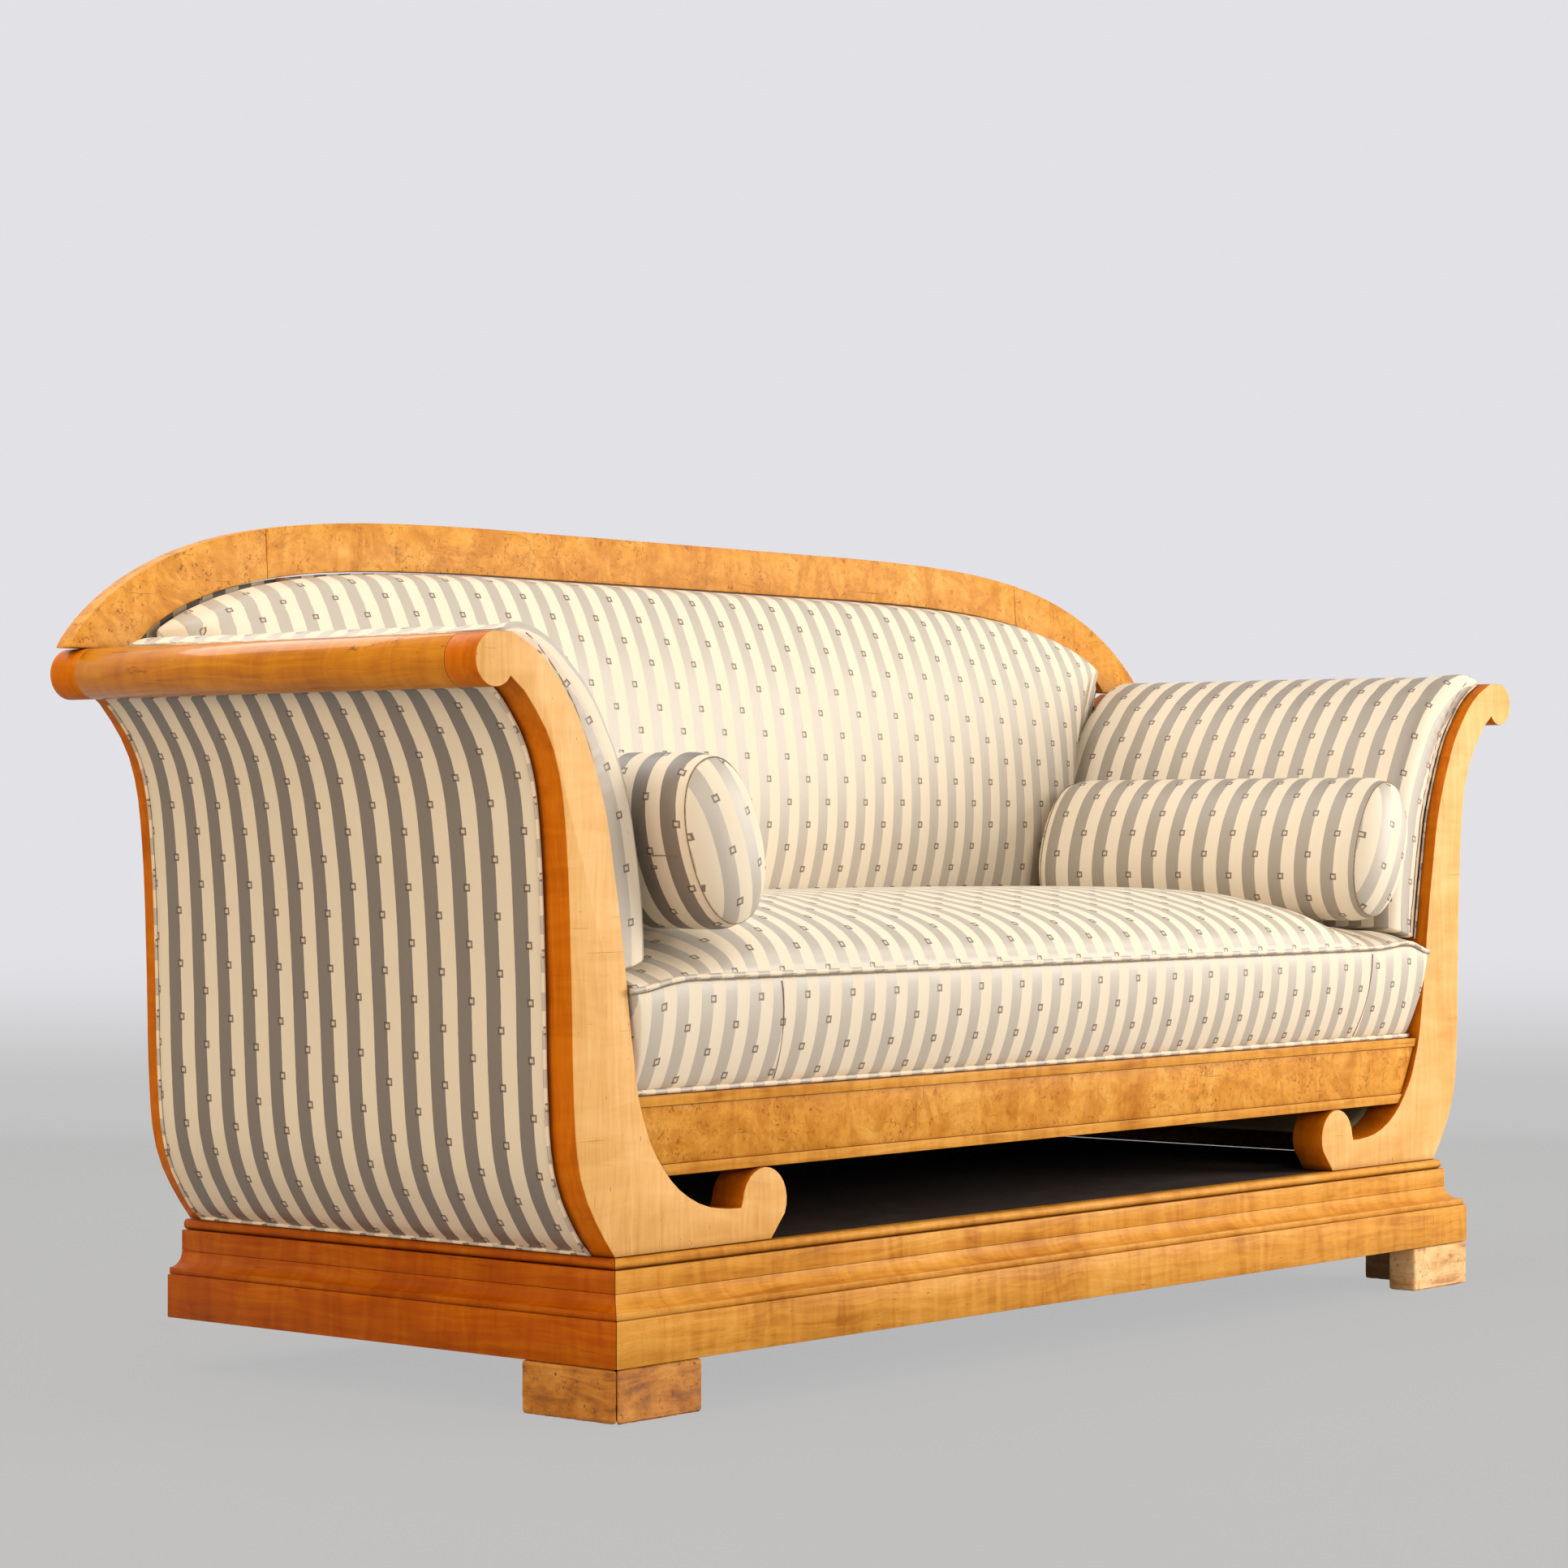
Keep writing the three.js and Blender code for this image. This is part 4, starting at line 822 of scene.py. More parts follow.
def seat_height(x, y):
    """Height of the seat's top over a place, as in the frame."""
    along = (y - SEAT_FRONT_Y) / SEAT_DEPTH
    forward = min(max(along, 0) / SEAT_SUMMIT_SHARE, 1)
    front = max(1 - (1 - forward) ** SEAT_FRONT_POWER, 0) ** SEAT_FRONT_SOFTNESS
    rearward = max((along - SEAT_SUMMIT_SHARE) / (1 - SEAT_SUMMIT_SHARE), 0)
    rear = 1 - SEAT_REAR_DROP * rearward**2
    across = min(abs(x) / SEAT_DOME_HALF, 1)
    crown = SEAT_CROWN * front * rear * (1 - across**SEAT_SIDE_POWER)
    bolster = BOLSTERS["left" if x < 0 else "right"]
    to_bolster = min(abs(abs(x) - (abs(bolster["x"]) - LOWEST_SET_IN)) / HOLLOW_REACH, 1)
    hollow = HOLLOW_DEPTH * front * math.cos(math.pi / 2 * to_bolster) ** 2
    settle = SEAT_SETTLE * front * math.copysign(1, x) * across**3 * (1 - across**SEAT_SIDE_POWER)
    under_pad = smooth_step((abs(x) - SEAT_DOME_HALF) / FOOT_SINK_REACH)
    under_arms = (JUNCTION_RISE - FOOT_SINK * under_pad) * min(1.6 * front, 1)
    under_arms *= smooth_step((across - 1 + JUNCTION_SHARE) / JUNCTION_SHARE)
    edge_dip = welt_dip(x) * max(1 - (y - SEAT_FRONT_Y) / WELT_FADE, 0)
    return SEAT_EDGE_Z + float(max(crown - hollow - settle, under_arms)) + edge_dip


def boxing_place(share, up):
    """A place on the seat's front: share from the middle to its ends, and share of its height."""
    x_bottom = share * SEAT_HALF_BOTTOM
    x = x_bottom + (share * SEAT_HALF_TOP - x_bottom) * up
    end_fall = BOXING_END_SHARE + (1 - BOXING_END_SHARE) * math.sqrt(max(1 - abs(share) ** 40, 0))
    bulge = BOXING_BULGE * math.sin(math.pi * up) ** BOXING_POWER * end_fall
    pucker = ripple(1.1 * MM, 14 * MM, x) * (1 - smooth_step(up / 0.3))
    slack = ripple(0.8 * MM, 60 * MM, x, 2.0, up * 0.13, 7.0) * math.sin(math.pi * up)
    y = SEAT_FOOT_Y + (SEAT_FRONT_Y - SEAT_FOOT_Y) * up - bulge + pucker + slack
    z = SEAT_BOTTOM + (SEAT_EDGE_Z + welt_dip(x) - SEAT_BOTTOM) * up
    return x, y, z


def seat_ring(share, ys):
    """Points round the seat at a share of its half width: bottom, front boxing, crowned top and rear."""
    x = share * SEAT_HALF_TOP
    under_ys = np.linspace(SEAT_REAR_Y, SEAT_FOOT_Y, SEAT_UNDER_ROWS + 1)[:-1]
    ring = [(share * SEAT_HALF_BOTTOM, y, SEAT_BOTTOM) for y in under_ys]
    ring += [boxing_place(share, row / BOXING_ROWS) for row in range(BOXING_ROWS)]
    for y in ys:
        fade = min((y - SEAT_FRONT_Y) / (40 * MM), 1)
        ring.append((x, y, seat_height(x, y) + ripple(1.6 * MM, 160 * MM, x, y, 0, 3.1) * fade))
    rear_zs = np.linspace(seat_height(x, SEAT_REAR_Y), SEAT_BOTTOM, SEAT_REAR_ROWS + 2)[1:-1]
    return ring + [(x, SEAT_REAR_Y, z) for z in rear_zs]


def make_seat():
    even = np.linspace(-1, 1, SEAT_COLUMNS)
    shares = np.sin(even * math.pi / 2) * 0.35 + even * 0.65
    ys = SEAT_FRONT_Y + SEAT_DEPTH * (1 - np.cos(np.linspace(0, math.pi / 2, SEAT_TOP_ROWS)))
    rings = [seat_ring(share, ys) for share in shares]
    edge = SEAT_UNDER_ROWS + BOXING_ROWS
    places = []
    for ring in rings:
        lengths = arc_lengths(ring)
        places += [(p[0], lengths[edge] - length, 0) for p, length in zip(ring, lengths)]
    seat = make_cover("seat_cover", rings, seat_cloth, places)
    held = np.ones((len(rings), len(rings[0])))
    held[5:-5, edge + 2:edge + SEAT_TOP_ROWS - 3] = 0
    held[5:-5, SEAT_UNDER_ROWS + 2:edge - 1] = 0
    inflate(seat, held, 3 * MM)
    add_subdivision(seat)
    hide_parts("seat_cushion")


def make_seat_piping():
    top_path = []
    for x in np.linspace(-SEAT_HALF_TOP, SEAT_HALF_TOP, 240):
        end_fall = (abs(x) / SEAT_HALF_TOP) ** 24
        y = SEAT_FRONT_Y - 2.5 * MM + 4 * MM * end_fall
        top_path.append((x, y, SEAT_EDGE_Z + welt_dip(x) + 1.0 * MM))
    tube("seat_piping_top", top_path, PIPING_RADIUS, piping_cloth)
    # Painted shade: a thin brown cord under the top piping stands for the shadow line beneath it
    under = [(x, y - 1.0 * MM, z - PIPING_RADIUS - THREAD_RADIUS) for x, y, z in top_path]
    add_thread("seat_shadow_cord_top", under)
    low_path = []
    for x in np.linspace(-SEAT_HALF_BOTTOM, SEAT_HALF_BOTTOM, 240):
        wave = ripple(1.0 * MM, 30 * MM, x, 1.0)
        low_path.append((x, SEAT_FOOT_Y - 4.0 * MM + wave, SEAT_BOTTOM + PIPING_RADIUS * 0.95))
    tube("seat_piping_bottom", low_path, PIPING_RADIUS, piping_cloth)
    for number, seam in enumerate(BOXING_SEAMS, 1):
        path = [boxing_place(seam / SEAT_HALF_TOP, up) for up in np.linspace(0.06, 0.94, 40)]
        path = [(x, y - 0.3 * MM, z) for x, y, z in path]
        tube(f"seat_boxing_seam_{number}", path, BOXING_THREAD_RADIUS, brown_thread, sides=6)


# Arm pads
PAD_FRONT_Y = pad_low[1]
PAD_DEPTH = pad_high[1] - pad_low[1]
PAD_BOTTOM_Z = SEAT_EDGE_Z + 2 * SOFT_GAP
PAD_THICKEST_SHARE = 0.3
PAD_END_SHARE = 0.14
PAD_ROUND_START = 0.965
PAD_CORNER = 24 * MM
PAD_LIFT_REACH = 60 * MM
PAD_STEPS = 90
PAD_UNDER_ROWS = 6
CORNER_INDEX = 14
BORDER_SHIFTS = {"left": 20 * MM, "right": 0.0}
PLEATS = [0.46 + 0.042 * k + 0.010 * math.sin(7.0 * k) for k in range(11)]
PLEAT_SHARE = 0.007
PLEAT_DEPTH = 1.5 * MM
PLEAT_REACH = 14 * MM
STITCHES_IN = 15 * MM


def end_thickness(share):
    """The pad's thickness share, which rounds off to a thin edge on the roll."""
    if share < PAD_THICKEST_SHARE:
        thickness = 1 - PAD_FOOT_SHARE * ((PAD_THICKEST_SHARE - share) / PAD_THICKEST_SHARE) ** 2
    else:
        reach = (share - PAD_THICKEST_SHARE) / (1 - PAD_THICKEST_SHARE)
        thickness = max(1 - reach**2.2, 0) ** 0.6
    past = max(share - PAD_ROUND_START, 0) / (1 - PAD_ROUND_START)
    return max(thickness, PAD_END_SHARE) * math.sqrt(max(1 - past**2, 0.02))


def arm_pad_line():
    covered = [tuple(p) for p in inner_line if p[1] > PAD_BOTTOM_Z]
    covered.append((inner_x(PAD_BOTTOM_Z), PAD_BOTTOM_Z))
    return even_line(covered[::-1], PAD_STEPS)


PAD_LINE = arm_pad_line()
PAD_NORMALS = line_normals(PAD_LINE)
PAD_SHARES = arc_lengths(PAD_LINE) / arc_lengths(PAD_LINE)[-1]
PAD_THICKNESSES = ARM_THICKNESS * np.array([end_thickness(share) for share in PAD_SHARES])
ARM_FACE = PAD_LINE + PAD_NORMALS * (PAD_THICKNESSES + SOFT_GAP)[:, None]


def pad_section(thickness):
    """The pad's section across the arm: (depth from its front, rise), from its front foot round and back."""
    corner = min(PAD_CORNER, thickness * 0.45)
    wall = thickness - corner
    section = []
    for rise in np.linspace(0, wall, 8)[:-1]:
        section.append((-2.0 * MM * math.sin(math.pi * rise / max(thickness, MM)), rise))
    for angle in np.linspace(0, math.pi / 2, 8)[:-1]:
        section.append((corner * (1 - math.cos(angle)), wall + corner * math.sin(angle)))
    section += [(y, thickness) for y in np.linspace(corner, PAD_DEPTH - corner, 36)[:-1]]
    for angle in np.linspace(math.pi / 2, 0, 6)[:-1]:
        section.append((PAD_DEPTH - corner * (1 - math.cos(angle)), wall + corner * math.sin(angle)))
    section += [(PAD_DEPTH, rise) for rise in np.linspace(wall, 0, 5)]
    return section + [(y, 0.0) for y in np.linspace(PAD_DEPTH, 0, PAD_UNDER_ROWS + 2)[1:-1]]


def arm_point(k, sign, out, y):
    """A place out from the pad's line, lifted near its foot where the seat pushes it up."""
    x, z = PAD_LINE[k] + PAD_NORMALS[k] * out
    pushed = max(seat_height(sign * x, y) + SOFT_GAP - PAD_BOTTOM_Z, 0)
    return sign * x, y, z + pushed * max(1 - (z - PAD_BOTTOM_Z) / PAD_LIFT_REACH, 0)


def make_arm_pad(label, sign):
    face_lengths = arc_lengths(ARM_FACE)
    rings = []
    places = []
    for k, share in enumerate(PAD_SHARES):
        section = pad_section(PAD_THICKNESSES[k])
        along = arc_lengths(section)
        start = PAD_FRONT_Y + section[CORNER_INDEX][0] - along[CORNER_INDEX]
        fold = PLEAT_DEPTH * sum(math.exp(-((share - p) / PLEAT_SHARE) ** 2) for p in PLEATS)
        ring = []
        for j, (depth, rise) in enumerate(section):
            y = PAD_FRONT_Y + depth
            if j < CORNER_INDEX + 6:
                near_seam = math.exp(-((along[j] - PLEAT_REACH) / PLEAT_REACH) ** 2)
                y -= near_seam * (fold - ripple(0.8 * MM, 11 * MM, share * 900 * MM, along[j], 0, 5.0 + sign))
            soft = ripple(1.2 * MM, 110 * MM, sign, y, share, 2.0) * min(rise / (20 * MM), 1)
            ring.append(arm_point(k, sign, rise + SOFT_GAP + soft, y))
            border = BORDER_SHIFTS[label] if j < CORNER_INDEX else 0.0
            places.append((start + along[j] + border, face_lengths[k], 0))
        rings.append(ring)
    pad = make_cover(f"arm_cover_{label}", rings, arm_cloth[label], places)
    held = np.ones((len(rings), len(rings[0])))
    held[3:-3, 7:-16] = 0
    inflate(pad, held, 4 * MM)
    add_subdivision(pad)
    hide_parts(f"arm_pad_{label}")


def pad_front_path(sign, first, last, forward, rise):
    """A line on the pad's front between two shares of its length; rise gives its distance out at a share."""
    path = []
    for k, share in enumerate(np.linspace(0, 1, PAD_STEPS + 1)):
        if first <= share <= last:
            x, y, z = arm_point(k, sign, rise(share), PAD_FRONT_Y)
            path.append((x, y - forward, z))
    return path


def make_arm_seam(label, sign):
    """The stitched line between the border strip and the pad's front, and the piping along the board."""
    def stitched_out(share):
        return SOFT_GAP + STITCHES_IN + ripple(1.5 * MM, 0.06, share, sign)

    add_thread(f"arm_thread_{label}", pad_front_path(sign, 0.021, 0.929, 1.6 * MM, stitched_out))
    welt = pad_front_path(sign, 0, 0.985, 1.2 * MM, lambda share: SOFT_GAP + 1.0 * MM)
    welt[0] = tuple(np.add(welt[0], (0, 0, EDGE_PIPING_RADIUS)))
    tube(f"arm_piping_{label}", welt, ARM_PIPING_RADIUS, piping_cloth)


# Outer covers of the arms
PANEL_START = 1 * MM
PANEL_UNDER = 0.5 * MM
PANEL_FOOT_OUT = 1.5 * MM
PANEL_EDGE_OUT = 7 * MM
PANEL_EDGE_RISE = 28 * MM
PANEL_CROWN = 5 * MM
PANEL_BRIDGE = 14.5 * MM
PANEL_BRIDGE_POWER = 4
PANEL_LOW_Y = BOARD_BACK_Y - 13 * MM
PANEL_HIGH_Y = REAR_BOARD_Y + 18.5 * MM
PANEL_DEPTH = PANEL_HIGH_Y - PANEL_LOW_Y
PANEL_PIPING_IN = 0.6 * MM
PUCKER_REACH = 14 * MM


def panel_line(fine):
    """The part of the scroll's outer edge that the cover takes, above the bead and clear of the roll."""
    outward = -line_normals(fine)
    clear = arc_lengths(fine) > PANEL_START
    for out in (PANEL_UNDER, PANEL_EDGE_OUT):
        reach = np.hypot(*(fine + outward * out - (ROLL_X, ROLL_Z)).T)
        clear &= reach > ROLL_RADIUS + 1.0 * MM
    return even_line(fine[clear], 70)


def panel_out(y, length, share):
    """How far the cover stands out past its edge, at a place along the arm and a length up the scroll."""
    bridge = PANEL_BRIDGE * math.sin(math.pi * share**PANEL_BRIDGE_POWER)
    crown = PANEL_CROWN * math.sin(math.pi * min(share, 1))
    across = (y - PANEL_LOW_Y) / PANEL_DEPTH
    border = min(across, 1 - across) * PANEL_DEPTH
    swell = (crown + max(bridge, 0)) * math.sin(math.pi * across)
    pucker = ripple(0.9 * MM, 12 * MM, y, length, 0, 4.0) * math.exp(-min(border, length) / PUCKER_REACH)
    slack = ripple(0.9 * MM, 75 * MM, y, length, 1.0, 9.0)
    return swell + pucker + slack * min(border / (30 * MM), 1) * min(length / (60 * MM), 1)


def make_outer_panel(label, sign):
    """The tight cover on the arm's outer side, from the base's bead up to the roll, with its piping."""
    fine = even_line(outer_line, 900)
    total = arc_lengths(fine)[-1]
    line = panel_line(fine)
    normals = -line_normals(line)
    lengths = PANEL_START + arc_lengths(line)
    edge_share = smooth_step((lengths - PANEL_START) / PANEL_EDGE_RISE)
    edge_outs = PANEL_FOOT_OUT + (PANEL_EDGE_OUT - PANEL_FOOT_OUT) * edge_share
    ys = np.linspace(PANEL_LOW_Y, PANEL_HIGH_Y, 48)

    def place(k, out, y):
        x, z = line[k] + normals[k] * out
        return sign * x, y, z

    rings = []
    places = []
    for k, length in enumerate(lengths):
        outer = [place(k, edge_outs[k] + panel_out(y, length, length / total), y) for y in ys]
        rings.append(outer + [place(k, PANEL_UNDER, y) for y in ys[::-1]])
        places += [(y, length, 0) for y in (*ys, *ys[::-1])]
    panel = make_cover(f"arm_outer_cover_{label}", rings, side_cloth[label], places)
    add_subdivision(panel)
    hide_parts(f"arm_panel_outer_{label}")
    for edge, y in (("front", PANEL_LOW_Y + PANEL_PIPING_IN), ("rear", PANEL_HIGH_Y - PANEL_PIPING_IN)):
        path = [place(k, out, y) for k, out in enumerate(edge_outs[:-2])]
        tube(f"arm_outer_piping_{label}_{edge}", path, EDGE_PIPING_RADIUS, piping_cloth)
    foot_z = BASE_TOP + EDGE_PIPING_RADIUS + 0.1 * MM
    foot_x = np.interp(foot_z, fine[:, 1], fine[:, 0]) + 3.5 * MM
    path = [(sign * foot_x, y, foot_z) for y in np.linspace(PANEL_LOW_Y, PANEL_HIGH_Y, 50)]
    tube(f"arm_outer_piping_{label}_foot", path, EDGE_PIPING_RADIUS, piping_cloth)


# Back
BACK_THICKNESS = back_high[1] - back_low[1]
PAD_BACK_Y = back_high[1]
CREST_BOTTOM = crest_end_low[2]
CREST_TIP_X = crest_end_high[0] - 99.4 * MM
CREST_LOWER_RISE = 118.5 * MM
BOW_POWER = 5.5
LOWER_BOW_SOFTNESS = 0.755
CORNER_X = CREST_TIP_X - 4 * MM
CREST_FACE_Y = crest_end_low[1] - 1.3 * MM
COVER_GAP = 2 * MM
BACK_OVER_ARM = 3 * MM
BACK_FULLEST = 0.3
BACK_FOOT_FALL = 0.2
BACK_FOOT_POWER = 2.4
BACK_ROLL_POWER = 1.6
BACK_CREST_SHARE = 0.12
BACK_SIDE_POWER = 30
BACK_BORDER_SHARE = 0.6
BACK_SOFT_SHARE = 0.08
BACK_PUCKER_REACH = 22 * MM
MOTIF_LEVEL_Z = 655 * MM
FLANGE_DEPTH = 12 * MM
FLANGE_THICKNESS = 0.8 * MM
LINING_GAP = FLANGE_DEPTH + 6 * MM
BACK_COLUMNS = 120
BACK_ROWS = 50
BACK_REAR_ROWS = 13
SHEET_COLUMNS = 90
SHEET_ROWS = 80


def crest_lower(x):
    """Height of the crest rail's lower edge."""
    across = min(abs(x) / CREST_TIP_X, 1)
    return CREST_BOTTOM + CREST_LOWER_RISE * (1 - across**BOW_POWER) ** LOWER_BOW_SOFTNESS


def arm_face_x(z):
    """Half width between the arm pads at a height."""
    near = ARM_FACE[np.abs(ARM_FACE[:, 1] - z) < 8 * MM]
    widest = inner_x(z) if z < ROLL_Z else CORNER_X
    return float(min(near[:, 0].min(), widest)) if len(near) else widest


def back_place(across, up):
    """Place on the back pad's face: shares from left to right and from its foot to the crest."""
    foot_corner = seat_height(ARM_FOOT_X, PAD_BACK_Y - BACK_THICKNESS) + 2 * SOFT_GAP
    corner_top = max(crest_lower(CORNER_X) - COVER_GAP, ARM_FACE[:, 1].max() + BACK_OVER_ARM)
    half = min(arm_face_x(foot_corner + (corner_top - foot_corner) * up), CORNER_X) - COVER_GAP
    x = half * (2 * across - 1)
    foot = seat_height(x, PAD_BACK_Y - BACK_THICKNESS) + 2 * SOFT_GAP
    return x, foot + (crest_lower(x) - COVER_GAP - foot) * up


def back_profile(up):
    """How far the back pad stands proud, as a share of its thickness, at a share of its height."""
    if up < BACK_FULLEST:
        return 1 - BACK_FOOT_FALL * ((BACK_FULLEST - up) / BACK_FULLEST) ** BACK_FOOT_POWER
    reach = (up - BACK_FULLEST) / (1 - BACK_FULLEST)
    return max(math.sqrt(max(1 - reach**BACK_ROLL_POWER, 0)), BACK_CREST_SHARE)


def back_point(across, up):
    """A point of the back pad's face, puckered and tucked back under the crest."""
    x, z = back_place(across, up)
    side = math.sqrt(max(1 - abs(2 * across - 1) ** BACK_SIDE_POWER, 0))
    fall = (BACK_BORDER_SHARE + (1 - BACK_BORDER_SHARE) * side) * back_profile(up)
    to_top = crest_lower(x) - z
    uneven = ripple(1.1 * MM, 13 * MM, x, 0, z, 6.0) * math.exp(-max(to_top, 0) / BACK_PUCKER_REACH)
    uneven += ripple(2.2 * MM, 190 * MM, x, 0, z, 1.0)
    inner = min(up, 1 - up, across, 1 - across) / BACK_SOFT_SHARE
    y = PAD_BACK_Y - BACK_THICKNESS * fall + uneven * min(inner, 1)
    return x, y + (CREST_FACE_Y - y) * smooth_step(1 - to_top / FLANGE_DEPTH), z


def gathered_shares(count, share):
    """Shares from 0 to 1 that stand closer together near both ends."""
    return (1 - np.cos(np.linspace(0, math.pi, count))) / 2 * share + np.linspace(0, 1, count) * (1 - share)


def make_back():
    rings = []
    places = []
    for across in gathered_shares(BACK_COLUMNS, 0.5):
        ring = [back_point(across, up) for up in gathered_shares(BACK_ROWS, 0.6)]
        lengths = arc_lengths(ring)
        middle = np.interp(MOTIF_LEVEL_Z, [p[2] for p in ring], lengths)
        places += [(p[0], length - middle, 0) for p, length in zip(ring, lengths)]
        (foot_x, foot_y, foot_z), (top_x, _, top_z) = ring[0], ring[-1]
        rear_z = top_z - FLANGE_DEPTH - 2 * MM
        ring += [(top_x, CREST_FACE_Y + FLANGE_THICKNESS, top_z - FLANGE_DEPTH), (top_x, PAD_BACK_Y, rear_z)]
        places += [(top_x, lengths[-1] - middle + FLANGE_DEPTH, 0)] * 2
        for share in np.linspace(0, 1, BACK_REAR_ROWS + 1)[1:]:
            ring.append((top_x + (foot_x - top_x) * share, PAD_BACK_Y, rear_z + (foot_z - rear_z) * share))
            places.append((top_x, 0.5 - share, 0))
        ring.append((foot_x, (foot_y + PAD_BACK_Y) / 2, foot_z))
        places.append((foot_x, -middle - 15 * MM, 0))
        rings.append(ring)
    back = make_cover("back_cover", rings, back_cloth, places)
    held = np.ones((len(rings), len(rings[0])))
    held[3:-3, 3:BACK_ROWS - 3] = 0
    inflate(back, held, 3 * MM)
    add_subdivision(back)
    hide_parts("back_pad")


def outer_half(z):
    return min(inner_x(z) if z < ROLL_Z else CREST_TIP_X, CREST_TIP_X) - COVER_GAP


def lining_half(z):
    return min(arm_face_x(z), CORNER_X) - COVER_GAP


def flat_cover(name, node, material, half_at, gap, bulge=0.0):
    """A stretched sheet over the frame's own sheet, slightly domed; gap is its distance under the crest."""
    low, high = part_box(node)
    foot = low[2]
    rings = []
    places = []
    for across in np.linspace(0, 1, SHEET_COLUMNS):
        sheet = []
        for up in np.linspace(0, 1, SHEET_ROWS):
            half = min(half_at(foot + (crest_lower(CORNER_X) - gap - foot) * up), high[0])
            x = half * (2 * across - 1)
            z = foot + (crest_lower(x) - gap - foot) * up
            dome = bulge * math.sin(math.pi * across) ** 0.5 * math.sin(math.pi * up) ** 0.5
            sheet.append((x, high[1] + dome, z))
        ring = sheet + [(x, low[1], z) for x, _, z in reversed(sheet)]
        rings.append(ring)
        places += [(x, z, 0) for x, _, z in ring]
    piece = make_cover(name, rings, material, places)
    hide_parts(node)
    return piece


def make_back_sheets():
    back_outer = flat_cover("back_outer_cover", "back_panel_outer", back_outer_cloth,
                            outer_half, COVER_GAP, 3 * MM)
    back_lining = flat_cover("back_inner_lining", "back_lining", lining_weave,
                             lining_half, LINING_GAP)


# Arm linings
ARM_LINING_FACE = 1.2 * MM
ARM_LINING_BACK = 4.8 * MM
ARM_LINING_START = round(INNER_STEPS * 0.06)
ARM_LINING_END = round(INNER_STEPS * 0.96)


def make_arm_lining(label, sign):
    line = even_line(inner_line[ARM_LINING_START:ARM_LINING_END][::-1], 110)
    low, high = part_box(f"arm_lining_{label}")
    ys = np.linspace(low[1], high[1], 40)
    rings = []
    for (x, z), (nx, nz) in zip(line, line_normals(line)):
        ring = []
        for y in ys:
            into = ARM_LINING_FACE - ripple(0.5 * MM, 80 * MM, x, y, z)
            ring.append((sign * (x - nx * into), y, z - nz * into))
        for y in ys[::-1]:
            ring.append((sign * (x - nx * ARM_LINING_BACK), y, z - nz * ARM_LINING_BACK))
        rings.append(ring)
    piece = make_cover(f"arm_inner_lining_{label}", rings, lining_weave)
    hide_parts(f"arm_lining_{label}")


# Bolsters
NEAR_SEAM_STEPS = np.array((1.5, 4, 8, 14, 22, 34)) * MM
MIDDLE_START = 50 * MM
MIDDLE_STEPS = 26
SEAM_SWELL_REACH = 26 * MM
GATHER_REACH = 14 * MM
SEAM_PROUD = 1.004


def oval(angle):
    """A point on the bolster's outline, a little squarer than an ellipse."""
    c, s = math.cos(angle), math.sin(angle)
    reach = (abs(c) ** BOLSTER_POWER + abs(s) ** BOLSTER_POWER) ** (-1 / BOLSTER_POWER)
    return BOLSTER_WIDTH / 2 * reach * c, BOLSTER_HEIGHT / 2 * reach * s


def bolster_point(bolster, share, angle, y):
    """A point of the leaning bolster at a share of its full section, and its mark on the end's cloth."""
    across, up = np.multiply(oval(angle), share)
    x = bolster["x"] + bolster["sign"] * (across * COS_LEAN + up * SIN_LEAN)
    z = bolster["z"] + up * COS_LEAN - across * SIN_LEAN
    return (x, y, z), (bolster["sign"] * across, up, 0)


def bolster_rings(bolster):
    """Rings from the front end's middle to the rear one's: share of the full section, Y, gathering."""
    shares = np.sin(np.linspace(0, math.pi / 2, DOME_STEPS + 1))[1:]
    dome = []
    for share in shares:
        gather = max(share - 0.8, 0) * 4
        dome.append((BOLSTER_SEAM_SHARE * share, BOLSTER_DOME * (1 - share**2.4) ** 0.75, gather))
    length = bolster["rear"] - bolster["front"]
    middle = np.linspace(MIDDLE_START, length - MIDDLE_START, MIDDLE_STEPS)
    rings = [(share, bolster["front"] - drop, gather) for share, drop, gather in dome]
    for step in np.r_[NEAR_SEAM_STEPS, middle, length - NEAR_SEAM_STEPS[::-1]]:
        from_seam = min(step, length - step)
        swell = smooth_step(min(from_seam / SEAM_SWELL_REACH, 1)) ** 0.7
        share = BOLSTER_SEAM_SHARE + (1 - BOLSTER_SEAM_SHARE) * swell
        rings.append((share, bolster["front"] + step, math.exp(-from_seam / GATHER_REACH)))
    return rings + [(share, bolster["rear"] + drop, gather) for share, drop, gather in reversed(dome)]


def tube_marks(label):
    """Length round the bolster at each point of a ring, with a step at the left one's sewn seam."""
    numbers = np.arange(BOLSTER_AROUND + 1)
    lengths = arc_lengths([oval(2 * math.pi * k / BOLSTER_AROUND) for k in numbers])
    seam_step = CLOSING_SEAM_STEP if label == "left" else 0.0
    return np.where(numbers > BOLSTER_AROUND * 0.75, lengths - lengths[-1] + seam_step, lengths)


